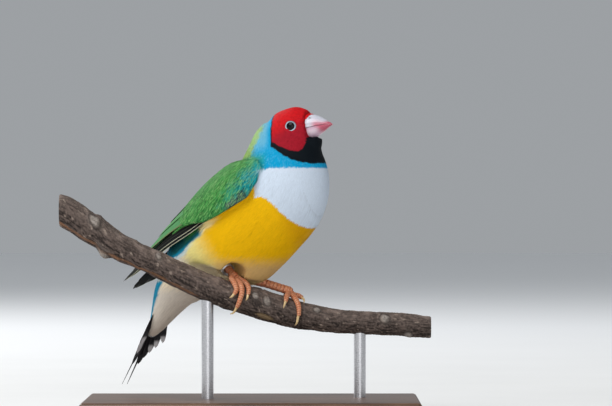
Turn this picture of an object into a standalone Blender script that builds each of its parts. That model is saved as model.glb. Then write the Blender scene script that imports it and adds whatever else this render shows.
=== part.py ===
"""A Gouldian finch on a cut branch, life size, held by a plain display stand. Metres, +Z up.

The origin is the middle of the underside of the base, and the branch runs roughly along X. The bird is built in its
own frame, x forward, y to its left and z up, which stands over the branch turned by HEADING from +X towards -Y.
Side is 1 for the bird's left and -1 for its right.
"""
import math

import bmesh
import bpy
from mathutils import Matrix, Vector

# Placing of the bird
GAP = 0.0003             # clearance kept between pieces that meet
HEADING = 32.0           # degrees the body is turned from +X towards -Y
STANCE = (0.0037, 0.0)   # where the bird's own origin stands
HEAD_TURN = 4.0          # degrees the head is turned to the bird's left
HEAD_PITCH = 11.0        # degrees the bill is raised
HEAD_PLACE = (0.0161, 0.0, 0.1087)  # midway between the eyes, in the bird's frame

# Trunk stations from the tail coverts to the breast:
# x, z, slope of the axis in degrees, half width, reach to the back, reach to the belly
TRUNK = (
    (-0.0504, 0.0290, 60.5, 0.0008, 0.0006, 0.0010),
    (-0.0473, 0.0336, 60.5, 0.0038, 0.0024, 0.0028),
    (-0.0438, 0.0397, 60.5, 0.0058, 0.0042, 0.0050),
    (-0.0412, 0.0450, 58.0, 0.0075, 0.0058, 0.0083),
    (-0.0350, 0.0515, 51.0, 0.0100, 0.0090, 0.0110),
    (-0.0253, 0.0591, 43.6, 0.0142, 0.0150, 0.0158),
    (-0.0154, 0.0650, 43.6, 0.0174, 0.0179, 0.0202),
    (-0.0073, 0.0723, 43.6, 0.0182, 0.0186, 0.0214),
    (0.0008, 0.0795, 43.6, 0.0177, 0.0178, 0.0213),
    (0.0075, 0.0852, 43.6, 0.0165, 0.0165, 0.0206),
    (0.0139, 0.0911, 43.6, 0.0150, 0.0145, 0.0177),
    (0.0187, 0.0955, 43.6, 0.0118, 0.0112, 0.0124),
    (0.0222, 0.0990, 43.6, 0.0060, 0.0060, 0.0062),
)
# Neck stations from inside the breast to inside the head: x, z, slope, half width, reach to nape and to throat
NECK = (
    (0.0070, 0.0850, 90.0, 0.0150, 0.0170, 0.0150),
    (0.0094, 0.0920, 90.0, 0.0148, 0.0182, 0.0152),
    (0.0106, 0.0970, 90.0, 0.0128, 0.0171, 0.0145),
    (0.0117, 0.1020, 90.0, 0.0104, 0.0158, 0.0126),
    (0.0122, 0.1070, 90.0, 0.0086, 0.0140, 0.0100),
    (0.0126, 0.1110, 90.0, 0.0066, 0.0118, 0.0070),
)
# Head stations in the head's frame, nape to bill: x, top, bottom, half width
HEAD = (
    (-0.0127, -0.0002, -0.0070, 0.0032),
    (-0.0114, 0.0036, -0.0095, 0.0058),
    (-0.0088, 0.0063, -0.0115, 0.0073),
    (-0.0042, 0.0071, -0.0120, 0.0077),
    (0.0000, 0.0073, -0.0120, 0.0072),
    (0.0032, 0.0060, -0.0117, 0.0062),
    (0.0052, 0.0046, -0.0112, 0.0050),
    (0.0070, 0.0026, -0.0103, 0.0038),
    (0.0079, -0.0010, -0.0092, 0.0020),
)
# Bill stations in the head's frame: x, ridge, line of the mouth, lower edge, half width
BILL = (
    (0.0050, 0.0032, -0.0027, -0.0062, 0.0039),
    (0.0070, 0.0028, -0.0024, -0.0060, 0.0035),
    (0.0090, 0.0019, -0.0020, -0.0053, 0.0029),
    (0.0108, 0.0006, -0.0018, -0.0043, 0.0021),
    (0.0122, -0.0006, -0.0019, -0.0034, 0.0014),
    (0.0132, -0.0015, -0.0021, -0.0028, 0.0007),
    (0.0138, -0.0022, -0.0026, -0.0026, 0.0002),
)
EYE_RADIUS = 0.0025
EYE_PLACE = (-0.0002, 0.0048, -0.0004)   # in the head's frame, for the left side
LID_PLACE = 0.00645              # how far out the lid's ring stands
LID_RING = (0.0022, 0.0004)      # radii of the ring and of its own thickness
NOSTRIL = (0.0064, 0.0026, 0.0017, 0.00055)  # x, y, z and radius, in the head's frame

# The folded wings lie on a cloak around the trunk. Its rings stand square to the line of the back:
# x, z, reach to the back, half width
CLOAK_SLOPE = 43.6
CLOAK = (
    (0.0171, 0.0941, 0.0170, 0.0170),
    (0.0090, 0.0868, 0.0192, 0.0190),
    (0.0008, 0.0795, 0.0206, 0.0205),
    (-0.0073, 0.0723, 0.0214, 0.0210),
    (-0.0158, 0.0653, 0.0206, 0.0203),
    (-0.0269, 0.0603, 0.0170, 0.0175),
    (-0.0391, 0.0561, 0.0117, 0.0135),
    (-0.0489, 0.0527, 0.0078, 0.0095),
    (-0.0587, 0.0494, 0.0038, 0.0060),
)
# Edges of the folded wing: cloak row, angle of the upper edge and of the lower edge from the back's middle
WING_EDGES = (
    (0.55, 60.0, 76.0),
    (0.9, 46.0, 88.0),
    (1.5, 32.0, 95.0),
    (2.2, 20.0, 92.0),
    (3.0, 11.0, 86.0),
    (4.0, 6.0, 84.0),
    (5.0, 5.0, 86.0),
    (6.0, 6.0, 84.0),
)
WING_THICK = 0.0020
WING_DROP = 0.0011     # how far the plate lies under the cloak where feathers cover it
PLATE_END = 5.6        # the cloak row where the plate ends and the long feathers go on alone
FAR_WING_SAG = 0.0030  # how much lower the left wing's tip hangs

# Tiers of the wing's feathers, the lowest in the pile first. Each row is a feather:
# cloak row and angle of the root, cloak row and angle of the tip, width, height over the cloak
PRIMARIES = (
    (2.0, 81.0, 7.50, 68.0, 0.0036, -0.00116),
    (2.1, 79.0, 7.85, 57.0, 0.0038, -0.00106),
    (2.2, 77.0, 8.00, 46.0, 0.0040, -0.00096),
    (2.3, 75.0, 7.70, 38.0, 0.0042, -0.00086),
    (2.4, 73.0, 7.25, 35.0, 0.0042, -0.00076),
    (2.5, 71.0, 6.80, 36.0, 0.0042, -0.00066),
    (2.6, 69.0, 6.35, 39.0, 0.0042, -0.00056),
)
SECONDARIES = (
    (2.2, 70.0, 5.80, 66.0, 0.0048, -0.00062),
    (2.3, 61.0, 5.65, 55.0, 0.0048, -0.00052),
    (2.4, 52.0, 5.40, 45.0, 0.0048, -0.00042),
)
TERTIALS = (
    (2.4, 43.0, 5.95, 33.0, 0.0058, -0.00038),
    (2.3, 32.0, 5.30, 23.0, 0.0058, -0.00024),
    (2.2, 22.0, 4.60, 15.0, 0.0056, -0.00010),
)
PRIMARY_COVERTS = (
    (1.1, 84.0, 3.10, 80.0, 0.0032, -0.00040),
)
GREATER_COVERTS = (
    (1.4, 76.0, 3.40, 72.0, 0.0050, -0.00034),
    (1.5, 65.0, 3.35, 61.0, 0.0050, -0.00028),
    (1.6, 54.0, 3.25, 50.0, 0.0050, -0.00022),
    (1.7, 43.0, 3.10, 39.0, 0.0050, -0.00016),
    (1.8, 32.0, 2.95, 28.0, 0.0050, -0.00010),
)
VANE_THICK = 0.00060
VANE_TILT = 0.00026    # how much higher than its middle the lower edge of a wing feather stands
LONG_VANE = ((0.0, 0.75), (0.25, 0.9), (0.56, 1.0), (0.86, 0.72), (1.0, 0.16))   # share along, share of the width
ROUND_VANE = ((0.0, 0.8), (0.75, 0.9), (1.0, 0.3))

# The tail, from its root inside the coverts
TAIL_ROOT = (-0.0415, 0.0, 0.0475)
TAIL_SLOPE = 60.5
# One row per pair of feathers, middle pair first: length, side offset at the tip, droop at the tip, width
TAIL_PAIRS = (
    (0.0410, 0.0016, 0.0000, 0.0034),
    (0.0320, 0.0018, 0.0003, 0.0034),
    (0.0290, 0.0028, 0.0006, 0.0035),
    (0.0266, 0.0040, 0.0010, 0.0036),
    (0.0240, 0.0054, 0.0016, 0.0036),
    (0.0212, 0.0069, 0.0025, 0.0036),
)
TAIL_START = 0.0015    # where the feathers start behind the tail's root
TAIL_STEP = 0.00012    # how much lower a left feather lies than the right one
TAIL_TILT = 0.00015    # how much a tail feather's outer edge lies under its middle
PIN_VANE = ((0.0, 0.7), (0.58, 0.95), (0.75, 0.30), (1.0, 0.15))

# The branch: x, z and radius along its middle line, which turns towards -Y at its left end
PERCH_YAW = 11.0
PERCH = (
    (-0.0703, 0.0776, 0.0058),
    (-0.0562, 0.0695, 0.0055),
    (-0.0488, 0.0643, 0.0051),
    (-0.0414, 0.0606, 0.0047),
    (-0.0266, 0.0536, 0.0050),
    (-0.0118, 0.0473, 0.0052),
    (-0.0044, 0.0449, 0.0053),
    (0.0030, 0.0428, 0.0057),
    (0.0104, 0.0406, 0.0055),
    (0.0178, 0.0386, 0.0052),
    (0.0252, 0.0373, 0.0048),
    (0.0326, 0.0362, 0.0045),
    (0.0474, 0.0354, 0.0044),
    (0.0548, 0.0350, 0.0044),
    (0.0666, 0.0339, 0.0042),
)

# Feet. A hub stands over the branch, and each toe is a line of points on it:
# distance along the branch from the hub, angle from its top towards the viewer, height over the bark
HUB_RADIUS = 0.0017
TARSUS = 0.0140
TARSUS_RADIUS = 0.00130
FEET = {
    "right": {
        "hub_x": -0.0066, "hub_lift": 0.0020, "heading": 59.0, "rise": 31.0,
        "toes": (
            ((-0.0008, 14.0, 0.0015), (0.0002, 40.0, 0.0014), (0.0010, 62.0, 0.0013), (0.0002, 79.0, 0.0013)),
            ((0.0006, 6.0, 0.0015), (0.0024, 38.0, 0.0014), (0.0030, 66.0, 0.0014), (0.0022, 95.0, 0.0013),
             (0.0012, 120.0, 0.0012)),
            ((0.0022, 6.0, 0.0015), (0.0040, 18.0, 0.0013), (0.0054, 44.0, 0.0012), (0.0053, 70.0, 0.0012)),
            ((-0.0004, -12.0, 0.0014), (-0.0012, -40.0, 0.0013), (-0.0016, -75.0, 0.0012)),
        ),
        "claws": (
            ((-0.0006, 88.0, 0.0014), (-0.0016, 95.0, 0.0009)),
            ((0.0000, 142.0, 0.0016), (-0.0014, 160.0, 0.0015)),
            ((0.0050, 80.0, 0.0014), (0.0044, 90.0, 0.0009)),
            ((-0.0018, -93.0, 0.0015), (-0.0018, -112.0, 0.0009)),
        ),
    },
    "left": {
        "hub_x": 0.0137, "hub_lift": 0.0021, "heading": 9.0, "rise": 17.0,
        "toes": (
            ((-0.0002, 12.0, 0.0015), (-0.0008, 34.0, 0.0013), (-0.0012, 56.0, 0.0012)),
            ((0.0010, 8.0, 0.0015), (0.0025, 34.0, 0.0014), (0.0036, 62.0, 0.0013), (0.0037, 90.0, 0.0012)),
            ((0.0016, 2.0, 0.0015), (0.0036, 2.0, 0.0017), (0.0050, 8.0, 0.0014)),
            ((-0.0006, -12.0, 0.0014), (-0.0014, -42.0, 0.0013), (-0.0018, -78.0, 0.0012)),
        ),
        "claws": (
            ((-0.0016, 68.0, 0.0014), (-0.0020, 80.0, 0.0009)),
            ((0.0030, 112.0, 0.0015), (0.0022, 130.0, 0.0010)),
            ((0.0055, 22.0, 0.0014), (0.0056, 38.0, 0.0009)),
            ((-0.0020, -96.0, 0.0015), (-0.0020, -114.0, 0.0009)),
        ),
    },
}
TOE_RADII = (0.0011, 0.0008)
CLAW_TIP = 0.00022
BAND_PLACE = (0.0060, 0.0028)   # from the hub to the middle of the band, and its length
BAND_RADII = (0.0020, 0.0024)

# The display stand
BASE_SIZE = (0.124, 0.078, 0.008)
BASE_BEVEL = 0.0015
ROD_RADIUS = 0.0022
ROD_PLACES = (-0.0163, 0.0400)
ROD_DEPTH = 0.0030     # how far a rod goes into the base and into the branch


def at(rows, t):
    """The row at t on a smooth curve through the rows. t counts rows from 0."""
    last = len(rows) - 1
    k = min(max(int(math.floor(t)), 0), last - 1)
    f = t - k
    before = rows[max(k - 1, 0)]
    a = rows[k]
    b = rows[k + 1]
    after = rows[min(k + 2, last)]
    return [
        0.5 * (2 * q + (r - p) * f + (2 * p - 5 * q + 4 * r - s) * f * f + (3 * q - p - 3 * r + s) * f ** 3)
        for p, q, r, s in zip(before, a, b, after)
    ]


def at_key(rows, key):
    """The rest of the row whose first value is key, straight between rows that go up by it."""
    for low, high in zip(rows, rows[1:]):
        if key <= high[0] or high is rows[-1]:
            f = min(max((key - low[0]) / (high[0] - low[0]), 0.0), 1.0)
            return [p + (q - p) * f for p, q in zip(low[1:], high[1:])]


def steps(count):
    """count values from 0 to 1, both ends among them."""
    return [k / (count - 1) for k in range(count)]


# Frames
BIRD = Matrix.Translation((STANCE[0], STANCE[1], 0.0)) @ Matrix.Rotation(-math.radians(HEADING), 4, "Z")
HEAD_FRAME = (
    Matrix.Translation(HEAD_PLACE)
    @ Matrix.Rotation(math.radians(HEAD_TURN), 4, "Z")
    @ Matrix.Rotation(-math.radians(HEAD_PITCH), 4, "Y")
)


# Materials: colour, roughness and metallic value
FINISHES = {
    "red_feathers": ((0.62, 0.02, 0.02), 0.75, 0.0),
    "blue_feathers": ((0.05, 0.42, 0.68), 0.75, 0.0),
    "breast_feathers": ((0.80, 0.62, 0.08), 0.80, 0.0),
    "rump_feathers": ((0.35, 0.55, 0.75), 0.80, 0.0),
    "wing_feathers": ((0.06, 0.30, 0.07), 0.65, 0.0),
    "tail_feathers": ((0.03, 0.03, 0.04), 0.60, 0.0),
    "bill": ((0.85, 0.68, 0.70), 0.35, 0.0),
    "eye": ((0.02, 0.02, 0.03), 0.08, 0.0),
    "leg_skin": ((0.75, 0.30, 0.16), 0.55, 0.0),
    "band": ((0.75, 0.76, 0.78), 0.30, 1.0),
    "bark": ((0.24, 0.17, 0.13), 0.85, 0.0),
    "stand_wood": ((0.30, 0.19, 0.11), 0.45, 0.0),
    "stand_metal": ((0.60, 0.60, 0.62), 0.30, 1.0),
}


def finish(name):
    """The material of that name, made once."""
    found = bpy.data.materials.get(name)
    if found:
        return found
    colour, roughness, metallic = FINISHES[name]
    made = bpy.data.materials.new(name)
    made.use_nodes = True
    shader = made.node_tree.nodes["Principled BSDF"]
    shader.inputs["Base Color"].default_value = (*colour, 1.0)
    shader.inputs["Roughness"].default_value = roughness
    shader.inputs["Metallic"].default_value = metallic
    return made


def finished(obj, name, smooth_under=40.0):
    """Gives an object its material and smooth shading up to that angle."""
    obj.data.materials.clear()
    obj.data.materials.append(finish(name))
    obj.data.shade_smooth()
    obj.data.set_sharp_from_angle(angle=math.radians(smooth_under))
    return obj


def empty(name, matrix, parent=None):
    """An empty that places what is parented to it."""
    made = bpy.data.objects.new(name, None)
    bpy.context.scene.collection.objects.link(made)
    made.parent = parent
    made.matrix_local = matrix
    return made


# Mesh helpers
def clear_scene():
    for obj in list(bpy.data.objects):
        bpy.data.objects.remove(obj, do_unlink=True)


def new_object(name, bm):
    """An object made from a bmesh, in the scene's own collection."""
    bmesh.ops.recalc_face_normals(bm, faces=bm.faces)
    if bm.calc_volume(signed=True) < 0:
        bmesh.ops.reverse_faces(bm, faces=bm.faces)
    mesh = bpy.data.meshes.new(name)
    bm.to_mesh(mesh)
    bm.free()
    obj = bpy.data.objects.new(name, mesh)
    bpy.context.scene.collection.objects.link(obj)
    return obj


def loft(name, rings, end_points=(None, None)):
    """A closed skin over rings of points. An end is a flat face, or a point where one is given."""
    bm = bmesh.new()
    made = [[bm.verts.new(point) for point in ring] for ring in rings]
    for low, high in zip(made, made[1:]):
        for k, vert in enumerate(low):
            nxt = (k + 1) % len(low)
            bm.faces.new((vert, low[nxt], high[nxt], high[k]))
    for ring, point in ((made[0], end_points[0]), (made[-1], end_points[1])):
        if point is None:
            bm.faces.new(ring)
            continue
        tip = bm.verts.new(point)
        for k, vert in enumerate(ring):
            bm.faces.new((vert, ring[(k + 1) % len(ring)], tip))
    bmesh.ops.triangulate(bm, faces=bm.faces, quad_method="FIXED", ngon_method="BEAUTY")
    return new_object(name, bm)


def drop(obj):
    bpy.data.objects.remove(obj, do_unlink=True)


def settled(obj):
    """Applies the object's modifiers."""
    graph = bpy.context.evaluated_depsgraph_get()
    mesh = bpy.data.meshes.new_from_object(obj.evaluated_get(graph))
    obj.modifiers.clear()
    obj.data = mesh
    return obj


def largest(obj):
    """Keeps only the largest closed surface of the object."""
    bm = bmesh.new()
    bm.from_mesh(obj.data)
    bmesh.ops.remove_doubles(bm, verts=bm.verts, dist=1e-7)
    left = set(bm.verts)
    islands = []
    while left:
        stack = [left.pop()]
        island = set(stack)
        while stack:
            vert = stack.pop()
            for edge in vert.link_edges:
                other = edge.other_vert(vert)
                if other in left:
                    left.discard(other)
                    island.add(other)
                    stack.append(other)
        low = Vector([min(v.co[i] for v in island) for i in range(3)])
        high = Vector([max(v.co[i] for v in island) for i in range(3)])
        islands.append(((high - low).length, island))
    islands.sort(key=lambda pair: pair[0])
    loose = [vert for _, island in islands[:-1] for vert in island]
    bmesh.ops.delete(bm, geom=loose, context="VERTS")
    bmesh.ops.triangulate(bm, faces=bm.faces)
    bm.to_mesh(obj.data)
    bm.free()
    return obj


def combine(obj, others, operation, solver="EXACT"):
    """Joins the others to the object, or cuts them from it, in one Boolean on a collection."""
    group = bpy.data.collections.new("operands")
    bpy.context.scene.collection.children.link(group)
    for other in others:
        group.objects.link(other)
    change = obj.modifiers.new("combine", "BOOLEAN")
    change.operand_type = "COLLECTION"
    change.collection = group
    change.operation = operation
    change.solver = solver
    bpy.context.view_layer.update()
    settled(obj)
    for other in others:
        drop(other)
    bpy.data.collections.remove(group)
    return largest(obj)


def trimmed(obj, point, normal):
    """Cuts off what lies beyond a plane, on the side that the normal points to, and closes the cut."""
    bm = bmesh.new()
    bm.from_mesh(obj.data)
    geometry = bm.verts[:] + bm.edges[:] + bm.faces[:]
    bmesh.ops.bisect_plane(bm, geom=geometry, plane_co=point, plane_no=normal, clear_outer=True, dist=1e-7)
    bmesh.ops.holes_fill(bm, edges=[edge for edge in bm.edges if edge.is_boundary], sides=0)
    bmesh.ops.triangulate(bm, faces=bm.faces)
    bm.to_mesh(obj.data)
    bm.free()
    return largest(obj)


def between(source, name, cuts):
    """A copy of the source, trimmed by each (point, normal) in turn."""
    obj = bpy.data.objects.new(name, source.data.copy())
    bpy.context.scene.collection.objects.link(obj)
    for point, normal in cuts:
        trimmed(obj, Vector(point), Vector(normal).normalized())
    return obj


def moved(obj, matrix):
    obj.data.transform(matrix)
    return obj


def sphere(name, centre, radius, segments=12, rings=8):
    bm = bmesh.new()
    bmesh.ops.create_uvsphere(bm, u_segments=segments, v_segments=rings, radius=radius)
    bmesh.ops.translate(bm, verts=bm.verts, vec=centre)
    bmesh.ops.triangulate(bm, faces=bm.faces)
    return new_object(name, bm)


def tube(name, points, radii, sides=8, end_points=(None, None)):
    """A round bar along points, with a radius at each."""
    rings = []
    up = Vector((0.1, 0.2, 1.0))
    for k, point in enumerate(points):
        ahead = points[min(k + 1, len(points) - 1)] - points[max(k - 1, 0)]
        ahead.normalize()
        across = ahead.cross(up).normalized()
        up = across.cross(ahead)
        ring = []
        for n in range(sides):
            turn = 2 * math.pi * n / sides
            ring.append(point + radii[k] * (math.cos(turn) * across + math.sin(turn) * up))
        rings.append(ring)
    return loft(name, rings, end_points)


# Flesh of the bird
KEEL = 0.16           # how much the trunk's half width draws in towards the belly
TUNNEL = 0.0026       # room that the belly keeps over the branch
ALCOVE = ((0.0080, 0.0, 0.0, 0.0038), (0.0, -0.0030, 0.0012, 0.0044), (0.0, -0.0170, -0.0020, 0.0056))


def section(x, z, slope, half, back, belly, count=28):
    """A ring round the trunk or neck, square to an axis of that slope."""
    lean = math.radians(slope)
    dorsal = Vector((-math.sin(lean), 0.0, math.cos(lean)))
    centre = Vector((x, 0.0, z))
    ring = []
    for n in range(count):
        turn = 2 * math.pi * n / count
        reach = back if math.cos(turn) > 0 else belly
        draw = 1 - KEEL * min(math.cos(turn), 0.0) ** 2
        ring.append(centre + Vector((0.0, draw * half * math.sin(turn), 0.0)) + reach * math.cos(turn) * dorsal)
    return ring


def body_part(name, rows, count):
    rings = [section(*at(rows, t * (len(rows) - 1))) for t in steps(count)]
    return loft(name, rings)


def head_part():
    rings = []
    for t in steps(22):
        x, top, bottom, half = at(HEAD, t * (len(HEAD) - 1))
        middle = (top + bottom) / 2
        tall = (top - bottom) / 2
        ring = []
        for n in range(24):
            turn = 2 * math.pi * n / 24
            ring.append(Vector((x, half * math.sin(turn), middle + tall * math.cos(turn))))
        rings.append(ring)
    return moved(loft("head_part", rings), HEAD_FRAME)


def flesh(faces=3600):
    """Trunk, neck and head as one smooth body."""
    body = body_part("flesh", TRUNK, 48)
    combine(body, [body_part("neck_part", NECK, 12), head_part()], "UNION")
    for room in (perch_solid("room", TUNNEL), alcove("room", FEET["right"])):
        combine(body, [moved(room, BIRD.inverted())], "DIFFERENCE")
    remesh = body.modifiers.new("remesh", "REMESH")
    remesh.mode = "VOXEL"
    remesh.voxel_size = 0.0007
    smooth = body.modifiers.new("smooth", "SMOOTH")
    smooth.factor = 0.5
    smooth.iterations = 7
    settled(body)
    reduce = body.modifiers.new("reduce", "DECIMATE")
    reduce.ratio = faces / (2 * len(body.data.polygons))
    settled(body)
    return largest(body)


def alcove(name, foot):
    """Room among the belly's feathers for a foot: along its tarsus, then out towards the viewer."""
    hub, back = tarsus_line(foot)
    points = [hub + back * along + Vector((0.0, y, z)) for along, y, z, _ in ALCOVE]
    return tube(name, points, [row[3] for row in ALCOVE], 12)


# Places where the flesh is parted: a point and the direction of the front piece
HEAD_CUT = (Vector((0.0115, 0.0, 0.1017)), Vector((0.32, 0.0, 0.95)).normalized())
NECK_CUT = (Vector((0.0090, 0.0, 0.0957)), Vector((0.155, 0.0, 0.988)).normalized())
RUMP_CUT = (Vector((-0.0270, 0.0, 0.0575)), Vector((0.724, 0.0, 0.690)).normalized())
TAIL_CUT = (Vector((-0.0410, 0.0, 0.0484)), Vector((0.493, 0.0, 0.870)).normalized())


def front_of(cut):
    """The plane that trims away what lies behind a cut."""
    return cut[0] + cut[1] * GAP / 2, -cut[1]


def behind(cut):
    """The plane that trims away what lies in front of a cut."""
    return cut[0] - cut[1] * GAP / 2, cut[1]


# Bill
def bill_ring(t, kind, grow=0.0):
    """A ring of the upper bill, the lower bill, or the whole bill, in the head's frame."""
    x, ridge, mouth, lower, half = at(BILL, t * (len(BILL) - 1))
    count = 9
    ring = []
    if kind == "upper":
        for a in steps(count):
            turn = math.pi * (a - 0.5)
            ring.append(Vector((x, half * math.sin(turn), mouth + (ridge - mouth) * math.cos(turn) ** 0.9)))
    elif kind == "lower":
        top = mouth - GAP
        narrow = 0.93 * half
        for a in steps(count):
            turn = math.pi * (0.5 - a)
            ring.append(Vector((x, narrow * math.sin(turn), top + (lower - top) * math.cos(turn) ** 0.9)))
    else:
        middle = (ridge + lower) / 2
        tall = (ridge - lower) / 2 + grow
        for n in range(20):
            turn = 2 * math.pi * n / 20
            ring.append(Vector((x, (half + grow) * math.sin(turn), middle + tall * math.cos(turn))))
    return ring


def bills():
    upper = loft("bill_upper", [bill_ring(t, "upper") for t in steps(12)])
    lower = loft("bill_lower", [bill_ring(t, "lower") for t in [0.93 * s for s in steps(10)]])
    x, y, z, radius = NOSTRIL
    pits = [sphere("pit", Vector((x, side * y, z)), radius, 8, 6) for side in (-1, 1)]
    combine(upper, pits, "DIFFERENCE")
    return upper, lower


def bill_socket():
    """What the face leaves free for the bill: all that lies in front of its base, down to its lower edge."""
    x, ridge, _, lower, half = BILL[0]
    rings = []
    for ahead, floor in ((x - GAP, lower - GAP), (x + 0.003, lower - GAP + 0.0004), (x + 0.008, lower + 0.0020)):
        sides = ((-0.012, floor), (-0.0036, floor), (0.0036, floor), (0.012, floor), (0.012, 0.012), (-0.012, 0.012))
        rings.append([Vector((ahead, y, z)) for y, z in sides])
    return loft("socket", rings)


def lid(side):
    """A ring of lid round the eye."""
    x, _, z = EYE_PLACE
    big, small = LID_RING
    rings = []
    for n in range(14):
        turn = 2 * math.pi * n / 14
        out = Vector((math.cos(turn), 0.0, math.sin(turn)))
        centre = Vector((x, side * LID_PLACE, z)) + big * out
        ring = []
        for m in range(5):
            roll = 2 * math.pi * m / 5
            ring.append(centre + small * (math.cos(roll) * out + math.sin(roll) * Vector((0.0, 1.0, 0.0))))
        rings.append(ring)
    bm = bmesh.new()
    made = [[bm.verts.new(point) for point in ring] for ring in rings]
    for k, low in enumerate(made):
        high = made[(k + 1) % len(made)]
        for m in range(5):
            bm.faces.new((low[m], low[(m + 1) % 5], high[(m + 1) % 5], high[m]))
    bmesh.ops.triangulate(bm, faces=bm.faces)
    return moved(new_object("lid", bm), HEAD_FRAME)


def eye(name, side, grow=0.0):
    centre = Vector((EYE_PLACE[0], side * EYE_PLACE[1], EYE_PLACE[2]))
    return sphere(name, centre, EYE_RADIUS + grow)


# Wings
def cloak(row, angle, height, side):
    """A point on the cloak: a row along it, degrees from the back's middle, and a height over it."""
    x, z, back, half = at(CLOAK, row)
    if side > 0:
        z -= FAR_WING_SAG * max((row - 4) / 4, 0.0) ** 2
    lean = math.radians(CLOAK_SLOPE)
    dorsal = Vector((-math.sin(lean), 0.0, math.cos(lean)))
    turn = math.radians(angle)
    across = Vector((0.0, side * (half + height) * math.sin(turn), 0.0))
    return Vector((x, 0.0, z)) + across + (back + height) * math.cos(turn) * dorsal


def wing_plate(side, name):
    """The plate that carries the wing's feathers. Over the wrist it is the wing's outer surface."""
    first = WING_EDGES[0][0]
    rows = [first + t * (PLATE_END - first) for t in steps(12)]
    rings = []
    for n, row in enumerate(rows):
        upper, lower = at_key(WING_EDGES, row)
        end = min(n, len(rows) - 1 - n)
        drop_here = WING_DROP * min(max((row - 1.5) / 0.9, 0.0), 1.0)
        thick = (WING_THICK - drop_here) * (0.35, 0.7, 0.9, 1.0)[min(end, 3)]
        outer = []
        inner = []
        for q in steps(8):
            angle = upper + (lower - upper) * q
            rim = min(q, 1 - q)
            deep = thick * (0.35 + 0.65 * min(rim / 0.2, 1.0))
            top = -drop_here - 0.3 * (thick - deep)
            outer.append(cloak(row, angle, top, side))
            inner.append(cloak(row, angle, top - deep, side))
        rings.append(outer + inner[::-1])
    return loft(name, rings)


def wing_vane(side, feather, outline):
    """One feather of the folded wing, bent to the cloak, with its lower edge raised over the next one."""
    root_row, root_angle, tip_row, tip_angle, width, height = feather
    rings = []
    for t, share in outline:
        row = root_row + (tip_row - root_row) * t
        angle = root_angle + (tip_angle - root_angle) * t
        _, _, back, half = at(CLOAK, row)
        spread = math.degrees(share * width / (back + half))
        sunk = height - 0.0004 * max(1 - t / 0.3, 0.0)
        thick = VANE_THICK * (1 - 0.2 * t)
        top = []
        bottom = []
        for a in (-1, 1):
            lift = sunk + VANE_TILT * a * share
            at_angle = max(angle + spread * a, 2.0 + a)
            top.append(cloak(row, at_angle, lift, side))
            bottom.append(cloak(row, at_angle, lift - thick, side))
        rings.append(top + bottom[::-1])
    return loft("vane", rings)


def wing(side, name):
    """The folded wing: its feathers joined to their plate, tier by tier."""
    plate = wing_plate(side, name)
    vanes = []
    for tier, outline in (
        (PRIMARIES, LONG_VANE),
        (SECONDARIES, LONG_VANE),
        (TERTIALS, LONG_VANE),
        (PRIMARY_COVERTS, ROUND_VANE),
        (GREATER_COVERTS, ROUND_VANE),
    ):
        vanes += [wing_vane(side, feather, outline) for feather in tier]
    return combine(plate, vanes, "UNION")


# Tail
def tail_vane(side, pair):
    """One feather of the tail. The middle pair lies on top and each pair further out lies lower."""
    length, offset, droop, width = TAIL_PAIRS[pair]
    lean = math.radians(TAIL_SLOPE)
    along = Vector((-math.cos(lean), 0.0, -math.sin(lean)))
    dorsal = Vector((-math.sin(lean), 0.0, math.cos(lean)))
    under = 0.00016 * pair + (TAIL_STEP if side > 0 else 0.0)
    outline = LONG_VANE if pair else PIN_VANE
    rings = []
    for t, share in outline:
        far = TAIL_START + (length - TAIL_START) * t
        middle = side * offset * (0.2 + 0.8 * t)
        centre = Vector(TAIL_ROOT) + far * along - (under + droop * t * t) * dorsal
        half = share * width / 2
        top = []
        bottom = []
        for a in (-1, 1):
            lift = -TAIL_TILT * a * side * share
            point = centre + Vector((0.0, middle + half * a, 0.0)) + lift * dorsal
            top.append(point)
            bottom.append(point - VANE_THICK * dorsal)
        rings.append(top + bottom[::-1])
    return loft("vane", rings)


def tail_vanes():
    return [tail_vane(side, pair) for pair in range(len(TAIL_PAIRS)) for side in (-1, 1)]


# Branch, legs and feet
def perch_line(x):
    """The branch's middle at x, and its radius there."""
    rows = [(row[0], *row) for row in PERCH]
    low = 0
    while low < len(rows) - 2 and x > rows[low + 1][0]:
        low += 1
    share = (x - rows[low][0]) / (rows[low + 1][0] - rows[low][0])
    _, z, radius = at(PERCH, low + share)
    y = (x - STANCE[0]) * math.tan(math.radians(PERCH_YAW))
    return Vector((x, y, z)), radius


def perch_point(x, angle, height):
    """A point over the bark: x along the branch, degrees from its top towards -Y, and a height."""
    centre, radius = perch_line(x)
    ahead = (perch_line(x + 0.001)[0] - perch_line(x - 0.001)[0]).normalized()
    up = Vector((0.0, 0.0, 1.0 / math.sqrt(1 - ahead.z ** 2)))
    near = Vector((0.0, -1.0 / math.sqrt(1 - ahead.y ** 2), 0.0))
    turn = math.radians(angle)
    return centre + (radius + height) * (math.cos(turn) * up + math.sin(turn) * near)


def perch_solid(name, grow=0.0, sides=12, count=26):
    first = PERCH[0][0]
    last = PERCH[-1][0]
    rings = []
    for t in steps(count):
        x = first + t * (last - first)
        rings.append([perch_point(x, 360 * n / sides, grow) for n in range(sides)])
    return loft(name, rings)


def hub_of(foot):
    return perch_point(foot["hub_x"], 0.0, foot["hub_lift"] + GAP)


def tarsus_line(foot):
    """The hub, and the direction from it back to the heel."""
    turn = math.radians(foot["heading"])
    rise = math.radians(foot["rise"])
    back = Vector((-math.cos(turn) * math.cos(rise), math.sin(turn) * math.cos(rise), math.sin(rise)))
    return hub_of(foot), back


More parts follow.
